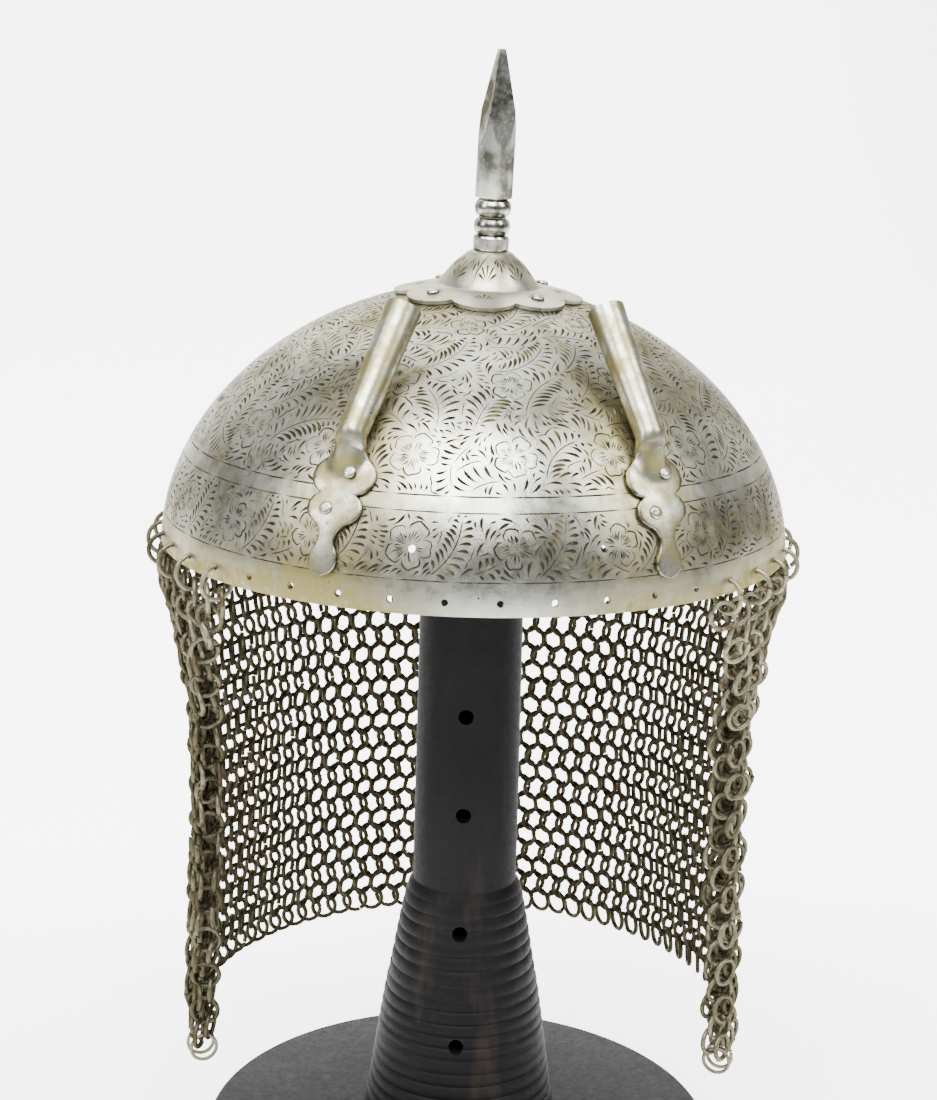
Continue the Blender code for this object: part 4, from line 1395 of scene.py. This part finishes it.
def mail_ring(column, row, last_column, rnd):
    """One ring of the weave, from its column and row; a column may be halfway between two."""
    size = mail()
    top_radius, top_height = hanging_ring_centre()
    height = top_height - size.hanging_radius - 0.6 * MM - row * size.row_drop
    down = (helmet().rim_level - size.top_drop - height) / size.mail_length
    share, gather, bundle = drape_at(min(1.0, max(0.0, down)))
    if down > 0.9:
        bundle = max(bundle, 0.7)
    radius = share * top_radius
    first, last = mail_edges(gather)
    inset = 0.4 * MM + 2.6 * MM * bundle
    total = radius * math.radians(last - first) - 2 * inset
    even = total / last_column
    edge_pitch = even + (2 * size.bundle_radius / EDGE_COLUMNS - even) * bundle
    middle_pitch = (total - 2 * EDGE_COLUMNS * edge_pitch) / (last_column - 2 * EDGE_COLUMNS)
    from_edge = min(column, last_column - column)
    if from_edge < EDGE_COLUMNS:
        run = from_edge * edge_pitch
    else:
        run = EDGE_COLUMNS * edge_pitch + (from_edge - EDGE_COLUMNS) * middle_pitch
    side = 1 if column <= last_column / 2 else -1
    start = first if side > 0 else last
    azimuth = start + side * math.degrees((inset + run) / radius)
    depth = max(0.0, min(1.0, EDGE_COLUMNS + 0.4 - from_edge)) * bundle
    beat = math.cos(math.pi * from_edge)
    turn = math.sin(math.pi * from_edge)
    out = FOLD_REACH * depth * beat
    fold = -side * FOLD_TURN * depth * turn
    weave = math.degrees(size.weave_turn) * (1 if row % 2 else -1)
    yaw = fold + weave * (1 - 0.2 * depth) + rnd.uniform(-3, 3) * (1 + 5 * depth)
    tilt = rnd.uniform(-3, 3) * (1 + 4 * depth)
    centre = place(radius + out + rnd.uniform(-0.15, 0.15) * MM, azimuth, height)
    centre.z += rnd.uniform(-0.15, 0.15) * MM * (1 + 4 * depth)
    lower, upper = drape_at(min(1.0, down + 0.03))[0], drape_at(max(0.0, down - 0.03))[0]
    slope = (upper - lower) * top_radius / (0.06 * size.mail_length)
    out_way = place(1.0, azimuth, 0.0)
    up = (Vector((0, 0, 1)) + out_way * slope).normalized()
    around = place(1.0, azimuth + 90, 0.0)
    normal = around.cross(up).normalized()
    around = Matrix.Rotation(math.radians(yaw), 3, up) @ around
    up = Matrix.Rotation(math.radians(tilt), 3, normal) @ up
    around = (around - up * around.dot(up)).normalized()
    tone = rnd.uniform(0, 1)
    butt = rnd.uniform(0, 360)
    oval = rnd.uniform(-0.025, 0.025)
    return centre, around, up, size.ring_radius, size.ring_wire, butt, oval, tone


def make_mail():
    """Mail curtain, ring by ring, each through two rings of the row above and two of the row below."""
    size = mail()
    rnd = random.Random(5)
    last_column = 2 * RINGED_HOLES - 1
    parts = ([], [], [])
    for row in range(size.rows):
        start = 0.0 if row % 2 == 0 else 0.5
        count = last_column + 1 if row % 2 == 0 else last_column
        for i in range(count):
            column = start + i
            ring = mail_ring(column, row, last_column, rnd)
            third = min(2, int(3 * column / (last_column + 1)))
            parts[third].append(ring)
    for name, rings in zip(("mail_right", "mail_back", "mail_left"), parts):
        mesh = wire_rings(name, rings, around=16, sides=6, gap_degrees=4.0)
        piece = add_piece(name, mesh, [mail_wire("mail_wire", worn=0.0)])
        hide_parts("mail_curtain")


def make_tail_rings():
    """Loose rings under the two front corners of the mail."""
    size = mail()
    rnd = random.Random(9)
    first, last = mail_edges(1.0)
    hem = helmet().rim_level - size.top_drop - size.mail_length
    height = hem + size.tail_rise - 0.95 * size.tail_radius
    radius = MAIL_DRAPE[-1][1] * hanging_ring_centre()[0]
    pitch = math.degrees(size.tail_pitch)
    wire = mail_wire("rim_ring_wire", worn=0.75)
    number = 0
    for step in range(1, TAIL_RINGS + 1):
        for azimuth in (first + step * pitch, last - step * pitch):
            number += 1
            ring = upright_ring(
                azimuth, radius, height, size.tail_radius, size.tail_wire, rnd, loose=6.0,
            )
            mesh = wire_rings(f"loose_ring_{number}", [ring], around=36, sides=10, gap_degrees=4.0)
            piece = add_piece(f"loose_ring_{number}", mesh, [wire])
            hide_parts(f"tail_ring_{number}")


# Stand

def flare_radius(share):
    """Radius of the flare at a share of its height."""
    size = stand()
    run = smooth_run(FLARE_PROFILE, 10)
    out = float(np.interp(share, [pair[0] for pair in run], [pair[1] for pair in run]))
    return size.column_low_radius + out * (size.flare_foot_radius - size.column_low_radius)


def flare_outline():
    """Outline of the ribbed flare, as radius and height, from the foot up."""
    size = stand()
    foot = size.base_thickness + helmet().gap
    made = []
    steps = 270
    for i in range(steps + 1):
        rise = size.flare_height * i / steps
        radius = flare_radius(i / steps)
        travel = rise / size.rib_pitch + 0.22 * noise.noise(Vector((rise * 120, 0.4, 0.0)))
        beat = travel % 1.0
        cut = 0.75 + 0.6 * noise.noise(Vector((round(travel) * 0.83, 3.1, 0.0)))
        fade = min(1.0, 0.25 + (size.flare_height - rise) / 0.015)
        groove = size.rib_depth * cut * fade * (1 - math.sqrt(abs(math.sin(math.pi * beat))))
        made.append((radius - groove, foot + rise))
    return made


def make_stand():
    """Turned column with its ribbed flare and peg holes, and the round base."""
    size = stand()
    rim = helmet().rim_level
    foot = size.base_thickness + helmet().gap
    outline = [(size.tenon_radius, foot - size.tenon_length), (size.tenon_radius, foot)]
    outline += flare_outline()
    level = foot + size.flare_height
    top_level = rim + inner_skull_height(size.column_top_radius) - size.crown_gap
    for share in np.linspace(0.02, 1.0, 24):
        radius = size.column_low_radius + (size.column_top_radius - size.column_low_radius) * share
        outline.append((radius, level + (top_level - level) * share))
    for share in (0.9, 0.75, 0.5, 0.25, 0.06):
        radius = share * size.column_top_radius
        outline.append((radius, rim + inner_skull_height(radius) - size.crown_gap))
    rings = [circle(radius, height, sides=96) for radius, height in outline]
    mesh = rings_to_mesh("turned_column", rings, smooth_degrees=38)
    column = add_piece("turned_column", mesh, [stand_paint("column_paint", wear=0.55)])
    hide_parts("stand_column")
    body = bmesh.new()
    drill = size.peg_hole_radius
    holes = [(drop, PEG_HOLE_AZIMUTH) for drop in PEG_HOLE_DROPS]
    holes += [(drop, azimuth) for drop in SIDE_HOLE_DROPS for azimuth in SIDE_HOLE_AZIMUTHS]
    for drop, azimuth in holes:
        height = rim - drop
        radius = flare_radius((height - foot) / size.flare_height)
        start = place(radius - size.peg_hole_depth, azimuth, height)
        end = place(radius + 0.02, azimuth, height)
        turn = Vector((0, 0, 1)).rotation_difference(end - start).to_matrix().to_4x4()
        middle = Matrix.Translation((start + end) / 2) @ turn
        bmesh.ops.create_cone(
            body, cap_ends=True, segments=32, radius1=drill, radius2=drill,
            depth=(end - start).length, matrix=middle,
        )
    cut_away(column, body)
    edge = 1.2 * MM
    steps = 6
    middle_radius = 1.0 * MM
    outline = [(middle_radius, 0.0), (size.base_radius - edge, 0.0)]
    for i in range(steps + 1):
        angle = -math.pi / 2 + math.pi / 2 * i / steps
        outline.append((size.base_radius - edge + edge * math.cos(angle), edge + edge * math.sin(angle)))
    for i in range(steps + 1):
        angle = math.pi / 2 * i / steps
        level = size.base_thickness - edge + edge * math.sin(angle)
        outline.append((size.base_radius - edge + edge * math.cos(angle), level))
    socket = size.tenon_radius + helmet().gap
    socket_floor = size.base_thickness - size.tenon_length
    outline += [(size.flare_foot_radius * 1.5, size.base_thickness), (socket, size.base_thickness)]
    outline += [(socket, socket_floor), (middle_radius, socket_floor)]
    rings = [circle(radius, height, sides=160) for radius, height in outline]
    mesh = rings_to_mesh("round_base", rings, smooth_degrees=35)
    base = add_piece("round_base", mesh, [stand_paint("base_paint", wear=0.15)])
    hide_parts("stand_base")


def inner_skull_height(radius):
    """Height of the skull's inner face above the rim at a radius."""
    size = helmet()
    share = min(1.0, radius / (size.skull_radius - size.skull_wall))
    inside = size.skull_height - size.skull_wall
    return inside * (1 - share**SKULL_FULLNESS) ** (1 / SKULL_FULLNESS)


def cut_away(piece, body):
    """Cuts a closed bmesh out of a piece and applies the cut."""
    mesh = bpy.data.meshes.new(f"{piece.name}_cutter")
    body.to_mesh(mesh)
    body.free()
    tool = bpy.data.objects.new(mesh.name, mesh)
    bpy.context.scene.collection.objects.link(tool)
    step = piece.modifiers.new("holes", "BOOLEAN")
    step.operation = "DIFFERENCE"
    step.solver = "EXACT"
    step.object = tool
    bpy.context.view_layer.update()
    evaluated = piece.evaluated_get(bpy.context.evaluated_depsgraph_get())
    cut = bpy.data.meshes.new_from_object(evaluated)
    piece.modifiers.clear()
    piece.data = cut
    bpy.data.objects.remove(tool)


# Materials

class Finish:
    """Builds one material's nodes."""

    def __init__(self, name):
        self.material = bpy.data.materials.new(name)
        self.material.use_nodes = True
        self.tree = self.material.node_tree
        self.shader = self.tree.nodes["Principled BSDF"]
        self.where = self.tree.nodes.new("ShaderNodeTexCoord").outputs["Object"]

    def link(self, start, end):
        """Joins two sockets."""
        self.tree.links.new(start, end)

    def stretched(self, scale):
        """Coordinates scaled by axis."""
        node = self.tree.nodes.new("ShaderNodeMapping")
        node.inputs["Scale"].default_value = scale
        self.link(self.where, node.inputs["Vector"])
        return node.outputs["Vector"]

    def noise(self, size, detail=4.0, roughness=0.55, where=None):
        """Cloudy value whose features are about a size in metres."""
        node = self.tree.nodes.new("ShaderNodeTexNoise")
        node.inputs["Scale"].default_value = 1.0 / size
        node.inputs["Detail"].default_value = detail
        node.inputs["Roughness"].default_value = roughness
        self.link(where or self.where, node.inputs["Vector"])
        return node.outputs["Fac"]

    def spots(self, size):
        """Distance to scattered points about a size apart."""
        node = self.tree.nodes.new("ShaderNodeTexVoronoi")
        node.inputs["Scale"].default_value = 1.0 / size
        self.link(self.where, node.inputs["Vector"])
        return node.outputs["Distance"]

    def stored(self, name):
        """A number stored on the mesh."""
        node = self.tree.nodes.new("ShaderNodeAttribute")
        node.attribute_name = name
        return node.outputs["Fac"]

    def remap(self, value, low, high, to_low=0.0, to_high=1.0):
        """A value carried from one range to another."""
        node = self.tree.nodes.new("ShaderNodeMapRange")
        node.inputs["From Min"].default_value = low
        node.inputs["From Max"].default_value = high
        node.inputs["To Min"].default_value = to_low
        node.inputs["To Max"].default_value = to_high
        self.link(value, node.inputs["Value"])
        return node.outputs["Result"]

    def math(self, operation, first, second):
        """Two values combined; either may be a plain number."""
        node = self.tree.nodes.new("ShaderNodeMath")
        node.operation = operation
        for socket, value in zip(node.inputs, (first, second)):
            if isinstance(value, (int, float)):
                socket.default_value = value
            else:
                self.link(value, socket)
        return node.outputs["Value"]

    def mix(self, share, first, second):
        """Two colours mixed by a share; either may be a plain colour."""
        node = self.tree.nodes.new("ShaderNodeMix")
        node.data_type = "RGBA"
        self.link(share, node.inputs["Factor"])
        for name, value in (("A", first), ("B", second)):
            socket = next(s for s in node.inputs if s.name == name and s.type == "RGBA")
            if isinstance(value, bpy.types.NodeSocket):
                self.link(value, socket)
            else:
                socket.default_value = (*value, 1.0)
        return next(s for s in node.outputs if s.type == "RGBA")

    def bump(self, value, depth, strength=1.0, under=None):
        """Raises the surface by a value times a depth in metres."""
        node = self.tree.nodes.new("ShaderNodeBump")
        node.inputs["Strength"].default_value = strength
        node.inputs["Distance"].default_value = depth
        self.link(value, node.inputs["Height"])
        if under is not None:
            self.link(under, node.inputs["Normal"])
        return node.outputs["Normal"]

    def finish(self, tint, roughness, normal, metallic, specular=0.5):
        """Joins the results to the shader."""
        self.link(tint, self.shader.inputs["Base Color"])
        self.link(roughness, self.shader.inputs["Roughness"])
        self.link(normal, self.shader.inputs["Normal"])
        self.shader.inputs["Metallic"].default_value = metallic
        self.shader.inputs["Specular IOR Level"].default_value = specular
        if metallic > 0:
            self.shader.inputs["Specular Tint"].default_value = (0.42, 0.40, 0.36, 1.0)
        return self.material


def worked_steel(name, polish, tarnish):
    """Hand-worked steel: polish is its roughness where clean, tarnish scales its stains."""
    made = bpy.data.materials.get(name)
    if made:
        return made
    made = Finish(name)
    paint = colours()
    cloud = made.noise(0.022, 6.0, 0.62)
    fine = made.noise(0.0032, 5.0, 0.6)
    grain = made.noise(0.0007, 3.0, 0.6)
    stain = made.math("MULTIPLY", made.stored("stain"), tarnish)
    mottled = made.math("MULTIPLY", stain, made.remap(fine, 0.25, 0.75, 0.55, 1.35))
    dull = made.remap(cloud, 0.40, 0.72)
    tint = made.mix(dull, paint.steel, paint.dull_steel)
    tint = made.mix(made.remap(mottled, 0.05, 0.95), tint, paint.stain)
    soil = made.math("MULTIPLY", made.stored("soil"), made.remap(cloud, 0.30, 0.70, 0.10, 0.75))
    soil = made.math("MULTIPLY", soil, made.remap(stain, 0.0, 0.8, 0.35, 1.0))
    tint = made.mix(soil, tint, tuple(0.45 * value for value in paint.stain))
    pits = made.remap(made.spots(0.0042), 0.10, 0.05)
    pits = made.math("MULTIPLY", pits, made.remap(fine, 0.50, 0.62))
    tint = made.mix(pits, tint, paint.patina)
    rough = made.remap(fine, 0.2, 0.8, polish - 0.05, polish + 0.10)
    rough = made.math("ADD", rough, made.remap(mottled, 0.0, 1.0, 0.0, 0.22))
    scratches = made.noise(0.0009, 2.0, 0.5, made.stretched((1.0, 1.0, 6.0)))
    normal = made.bump(cloud, 0.00035, 0.6)
    normal = made.bump(scratches, 0.00002, 0.5, normal)
    normal = made.bump(grain, 0.00002, 0.5, normal)
    return made.finish(tint, rough, normal, 1.0)


def spike_steel():
    """Polished steel of the spike, without stored stains."""
    made = bpy.data.materials.get("spike_steel")
    if made:
        return made
    made = Finish("spike_steel")
    paint = colours()
    cloud = made.noise(0.009, 5.0, 0.6)
    fine = made.noise(0.0012, 4.0, 0.6)
    dark = tuple(0.60 * value for value in paint.dull_steel)
    tint = made.mix(made.remap(cloud, 0.42, 0.62), paint.steel, dark)
    tint = made.mix(made.remap(cloud, 0.62, 0.80, 0.0, 0.7), tint, paint.stain)
    pits = made.math("MULTIPLY", made.remap(made.spots(0.0028), 0.14, 0.06), made.remap(fine, 0.46, 0.6))
    tint = made.mix(pits, tint, paint.patina)
    rough = made.remap(fine, 0.25, 0.75, 0.15, 0.30)
    turned = made.noise(0.0005, 2.0, 0.5, made.stretched((0.3, 0.3, 3.0)))
    normal = made.bump(turned, 0.00002, 0.6)
    normal = made.bump(cloud, 0.0001, 0.5, normal)
    return made.finish(tint, rough, normal, 1.0)


def holder_steel():
    """Yellow-brown tarnished steel of the plume holders."""
    made = bpy.data.materials.get("holder_steel")
    if made:
        return made
    made = Finish("holder_steel")
    paint = colours()
    cloud = made.noise(0.008, 6.0, 0.65)
    fine = made.noise(0.0016, 5.0, 0.6)
    tint = made.mix(made.remap(cloud, 0.34, 0.60), paint.steel, paint.dull_steel)
    tint = made.mix(made.remap(cloud, 0.42, 0.66, 0.25, 0.95), tint, paint.stain)
    soil = made.math("MULTIPLY", made.stored("soil"), made.remap(fine, 0.30, 0.65, 0.2, 1.0))
    tint = made.mix(soil, tint, tuple(0.22 * value for value in paint.stain))
    pits = made.math("MULTIPLY", made.remap(made.spots(0.0030), 0.16, 0.06), made.remap(fine, 0.48, 0.6))
    tint = made.mix(pits, tint, paint.patina)
    rough = made.remap(cloud, 0.3, 0.7, 0.24, 0.46)
    normal = made.bump(cloud, 0.00030, 0.6)
    normal = made.bump(fine, 0.00004, 0.6, normal)
    return made.finish(tint, rough, normal, 1.0)


def rivet_steel():
    """Rivet heads: bright on the hammered top, dark round the foot."""
    made = bpy.data.materials.get("rivet_steel")
    if made:
        return made
    made = Finish("rivet_steel")
    paint = colours()
    cloud = made.noise(0.0022, 4.0, 0.6)
    tint = made.mix(made.remap(cloud, 0.35, 0.7), paint.steel, paint.dull_steel)
    tint = made.mix(made.remap(cloud, 0.5, 0.72, 0.1, 0.8), tint, paint.stain)
    tint = made.mix(made.stored("soil"), tint, paint.patina)
    rough = made.remap(cloud, 0.3, 0.7, 0.22, 0.42)
    normal = made.bump(cloud, 0.0002, 0.7)
    return made.finish(tint, rough, normal, 1.0)


def engraving_patina():
    """Dark dirt in the engraved strokes."""
    made = bpy.data.materials.get("engraving_patina")
    if made:
        return made
    made = Finish("engraving_patina")
    paint = colours()
    cloud = made.noise(0.006, 5.0, 0.6)
    fine = made.noise(0.0009, 3.0, 0.6)
    warm = tuple(0.5 * (a + b) for a, b in zip(paint.patina, paint.stain))
    tint = made.mix(made.remap(cloud, 0.50, 0.72), paint.patina, warm)
    rough = made.remap(fine, 0.3, 0.7, 0.45, 0.75)
    normal = made.bump(fine, 0.00003, 0.6)
    return made.finish(tint, rough, normal, 0.55)


def mail_wire(name, worn):
    """Rusty drawn wire; worn adds to the share that is worn bright. The same share also carries painted
    light: the wire is painted lighter towards the front of the mail and darker towards the back, as
    painted shade.
    """
    made = bpy.data.materials.get(name)
    if made:
        return made
    made = Finish(name)
    paint = colours()
    patch = made.noise(0.030, 4.0, 0.6)
    cloud = made.noise(0.0032, 5.0, 0.65)
    fine = made.noise(0.0006, 3.0, 0.6)
    tone = made.math("MULTIPLY", made.stored("tone"), 0.45)
    rubbed_and_lit = made.math("ADD", tone, made.remap(cloud, 0.35, 0.75, -0.1, 0.5))
    rubbed_and_lit = made.math("ADD", rubbed_and_lit, made.remap(patch, 0.35, 0.65, -0.2, 0.2))
    rubbed_and_lit = made.math("ADD", rubbed_and_lit, worn * 0.5)
    # Painted light and shade: the wire is made lighter towards the front of the helmet (-Y) and darker
    # towards the back, where the curtain is seen from inside in shade.
    split = made.tree.nodes.new("ShaderNodeSeparateXYZ")
    made.link(made.where, split.inputs["Vector"])
    rubbed_and_lit = made.math("ADD", rubbed_and_lit, made.remap(split.outputs["Y"], -0.055, -0.015, 0.28, -0.30))
    tint = made.mix(made.remap(rubbed_and_lit, 0.15, 0.95), paint.mail, paint.worn_and_lit_mail)
    rust = made.math("ADD", cloud, made.remap(patch, 0.3, 0.7, -0.08, 0.08))
    tint = made.mix(made.remap(rust, 0.50, 0.64, 0.0, 0.9 - 0.4 * worn), tint, paint.rust)
    rough = made.remap(cloud, 0.3, 0.7, 0.34, 0.62)
    normal = made.bump(fine, 0.00006, 0.8)
    return made.finish(tint, rough, normal, 0.85)


def stand_paint(name, wear):
    """Black paint on turned wood; wear is the share of brown streaks."""
    made = bpy.data.materials.get(name)
    if made:
        return made
    made = Finish(name)
    paint = colours()
    streak = made.noise(0.010, 5.0, 0.6, made.stretched((1.0, 1.0, 0.16)))
    fine = made.noise(0.0016, 4.0, 0.6)
    worn = made.remap(streak, 0.62 - 0.14 * wear, 0.86 - 0.14 * wear, 0.0, 0.85)
    tint = made.mix(worn, paint.paint, paint.worn_paint)
    dust = made.remap(made.noise(0.05, 4.0, 0.6), 0.4, 0.75, 0.0, 0.10)
    tint = made.mix(dust, tint, (0.04, 0.04, 0.042))
    rough = made.remap(fine, 0.25, 0.75, 0.48, 0.66)
    turned = made.noise(0.0012, 3.0, 0.55, made.stretched((0.12, 0.12, 1.0)))
    normal = made.bump(turned, 0.00010, 0.5)
    normal = made.bump(fine, 0.00005, 0.5, normal)
    return made.finish(tint, rough, normal, 0.0, 0.10)


def stage_paint():
    """Pale matt floor and backdrop, lit from below behind the object like a light table."""
    made = Finish("stage_paint")
    made.material.cycles.emission_sampling = "NONE"
    base = colours().floor
    split = made.tree.nodes.new("ShaderNodeSeparateXYZ")
    made.link(made.where, split.inputs["Vector"])
    behind = made.remap(split.outputs["Y"], -0.35, 0.30, 0.30, 5.0)
    aside = made.remap(made.math("ABSOLUTE", split.outputs["X"], 0.0), 0.7, 1.7, 1.0, 0.15)
    made.link(made.math("MULTIPLY", behind, aside), made.shader.inputs["Emission Strength"])
    made.shader.inputs["Emission Color"].default_value = (*base, 1.0)
    cloud = made.noise(0.4, 3.0, 0.5)
    tint = made.mix(made.remap(cloud, 0.3, 0.7), base, tuple(0.985 * value for value in base))
    rough = made.remap(cloud, 0.3, 0.7, 0.85, 0.95)
    normal = made.bump(made.noise(0.004, 3.0, 0.5), 0.0001, 0.1)
    return made.finish(tint, rough, normal, 0.0, 0.2)


# Stage: name, azimuth, height, distance from the axis, size in metres and power in watts of each light,
# and the point they all face
LIGHTS = (
    ("key_light", -14.0, 1.45, 0.82, (0.95, 1.10), 60.0),
    ("side_light", -68.0, 1.00, 1.10, (0.45, 0.9), 14.0),
    ("fill_light", 62.0, 1.15, 1.05, (0.50, 0.8), 19.0),
    ("top_light", 175.0, 1.60, 0.35, (0.9, 0.7), 6.0),
)
LIT_POINT = Vector((0.0, 0.0, 0.22))


def make_stage():
    """Pale floor that curves up into a backdrop, and soft lights."""
    half_width, front, back, bend, top = 5.0, -4.0, 2.6, 1.0, 5.0
    steps = 12
    section = [(front, 0.0), (back - bend, 0.0)]
    for i in range(1, steps + 1):
        angle = math.pi / 2 * i / steps
        section.append((back - bend + bend * math.sin(angle), bend - bend * math.cos(angle)))
    section.append((back, top))
    points = [(side * half_width, y, z) for y, z in section for side in (-1, 1)]
    faces = [(2 * i, 2 * i + 1, 2 * i + 3, 2 * i + 2) for i in range(len(section) - 1)]
    mesh = mesh_from("floor", points, faces)
    mesh.shade_smooth()
    mesh.materials.append(stage_paint())
    floor = bpy.data.objects.new("floor", mesh)
    bpy.context.scene.collection.objects.link(floor)
    world = bpy.data.worlds.new("studio")
    world.use_nodes = True
    sky = world.node_tree.nodes["Background"]
    sky.inputs["Color"].default_value = (0.97, 0.985, 1.0, 1.0)
    sky.inputs["Strength"].default_value = 0.26
    bpy.context.scene.world = world
    for name, azimuth, height, distance, size, power in LIGHTS:
        add_softbox(name, place(distance, azimuth, height), LIT_POINT, size, power)


def add_softbox(name, spot, target, size, power):
    """Rectangular soft light at a spot, aimed at a target."""
    lamp = bpy.data.lights.new(name, "AREA")
    lamp.shape = "RECTANGLE"
    lamp.size, lamp.size_y = size
    lamp.energy = power
    light = bpy.data.objects.new(name, lamp)
    light.location = spot
    light.rotation_euler = (spot - target).to_track_quat("Z", "Y").to_euler()
    bpy.context.scene.collection.objects.link(light)


def make_camera():
    """Camera at the photograph's viewing angle."""
    elevation = math.radians(CAMERA_ELEVATION)
    back = place(math.cos(elevation), CAMERA_AZIMUTH, math.sin(elevation))
    right = place(1.0, CAMERA_AZIMUTH + 90, 0.0)
    up = back.cross(right)
    target = right * CAMERA_ASIDE + Vector((0.0, 0.0, helmet().rim_level - CAMERA_DROP))
    roll = math.radians(CAMERA_ROLL)
    rolled_right = right * math.cos(roll) + up * math.sin(roll)
    rolled_up = up * math.cos(roll) - right * math.sin(roll)
    data = bpy.data.cameras.new("photo_camera")
    data.lens = CAMERA_LENS
    data.sensor_width = CAMERA_SENSOR
    camera = bpy.data.objects.new("photo_camera", data)
    turn = Matrix((rolled_right, rolled_up, back)).transposed().to_4x4()
    camera.matrix_world = Matrix.Translation(target + back * CAMERA_DISTANCE) @ turn
    bpy.context.scene.collection.objects.link(camera)
    bpy.context.scene.camera = camera


# Operators

class KULAH_OT_stage(bpy.types.Operator):
    """Make the floor, the backdrop, the lights and the camera"""
    bl_idname = "kulah.stage"
    bl_label = "Stage and camera"
    bl_options = {"REGISTER", "UNDO"}

    def execute(self, context):
        make_stage()
        make_camera()
        return {"FINISHED"}


class KULAH_OT_skull(bpy.types.Operator):
    """Make the engraved bowl"""
    bl_idname = "kulah.skull"
    bl_label = "Engraved skull"
    bl_options = {"REGISTER", "UNDO"}

    def execute(self, context):
        make_skull()
        return {"FINISHED"}


class KULAH_OT_finial(bpy.types.Operator):
    """Make the boss with its flange and the spike"""
    bl_idname = "kulah.finial"
    bl_label = "Finial"
    bl_options = {"REGISTER", "UNDO"}

    def execute(self, context):
        make_finial_base()
        make_finial_spike()
        return {"FINISHED"}


class KULAH_OT_holders(bpy.types.Operator):
    """Make both plume holders"""
    bl_idname = "kulah.holders"
    bl_label = "Plume holders"
    bl_options = {"REGISTER", "UNDO"}

    def execute(self, context):
        for side, azimuth, lean, _ in HOLDERS:
            make_plume_holder(side, azimuth, lean)
        return {"FINISHED"}


class KULAH_OT_rivets(bpy.types.Operator):
    """Make the rivets of the holders and the finial"""
    bl_idname = "kulah.rivets"
    bl_label = "Rivets"
    bl_options = {"REGISTER", "UNDO"}

    def execute(self, context):
        make_rivets()
        return {"FINISHED"}


class KULAH_OT_hanging_rings(bpy.types.Operator):
    """Make the rings through the rim"""
    bl_idname = "kulah.hanging_rings"
    bl_label = "Rings in the rim"
    bl_options = {"REGISTER", "UNDO"}

    def execute(self, context):
        make_hanging_rings()
        return {"FINISHED"}


class KULAH_OT_mail(bpy.types.Operator):
    """Make the mail, ring by ring"""
    bl_idname = "kulah.mail"
    bl_label = "Mail"
    bl_options = {"REGISTER", "UNDO"}

    def execute(self, context):
        make_mail()
        return {"FINISHED"}


class KULAH_OT_tail_rings(bpy.types.Operator):
    """Make the loose rings under the mail's front corners"""
    bl_idname = "kulah.tail_rings"
    bl_label = "Tail rings"
    bl_options = {"REGISTER", "UNDO"}

    def execute(self, context):
        make_tail_rings()
        return {"FINISHED"}


class KULAH_OT_stand(bpy.types.Operator):
    """Make the turned column and its base"""
    bl_idname = "kulah.stand"
    bl_label = "Stand"
    bl_options = {"REGISTER", "UNDO"}

    def execute(self, context):
        make_stand()
        return {"FINISHED"}


class KULAH_PT_panel(bpy.types.Panel):
    """Lists the pieces of the helmet and its stand"""
    bl_label = "Kulah khud"
    bl_idname = "KULAH_PT_panel"
    bl_space_type = "VIEW_3D"
    bl_region_type = "UI"
    bl_category = "Helmet"

    def draw(self, context):
        column = self.layout.column(align=True)
        for operator in OPERATORS:
            column.operator(operator.bl_idname)
        for settings in ("kulah_helmet", "kulah_mail", "kulah_stand", "kulah_colours"):
            box = self.layout.box()
            group = getattr(context.scene, settings)
            for name in group.bl_rna.properties.keys():
                if name not in {"rna_type", "name"}:
                    box.prop(group, name)


OPERATORS = (
    KULAH_OT_stage, KULAH_OT_stand, KULAH_OT_skull, KULAH_OT_finial, KULAH_OT_holders, KULAH_OT_rivets,
    KULAH_OT_hanging_rings, KULAH_OT_mail, KULAH_OT_tail_rings,
)
SETTINGS = (
    ("kulah_helmet", HelmetSizes), ("kulah_mail", MailSizes), ("kulah_stand", StandSizes),
    ("kulah_colours", FinishColours),
)


def register():
    """Registers the settings, the operators and the panel."""
    for name, group in SETTINGS:
        bpy.utils.register_class(group)
        setattr(bpy.types.Scene, name, PointerProperty(type=group))
    for made in (*OPERATORS, KULAH_PT_panel):
        bpy.utils.register_class(made)


def unregister():
    """Takes them out again."""
    for made in (KULAH_PT_panel, *reversed(OPERATORS)):
        bpy.utils.unregister_class(made)
    for name, group in reversed(SETTINGS):
        delattr(bpy.types.Scene, name)
        bpy.utils.unregister_class(group)


def main():
    """Makes every piece."""
    register()
    bpy.ops.kulah.stage()
    bpy.ops.kulah.stand()
    bpy.ops.kulah.skull()
    bpy.ops.kulah.finial()
    bpy.ops.kulah.holders()
    bpy.ops.kulah.rivets()
    bpy.ops.kulah.hanging_rings()
    bpy.ops.kulah.mail()
    bpy.ops.kulah.tail_rings()
    bpy.context.view_layer.update()


if __name__ == "__main__":
    main()
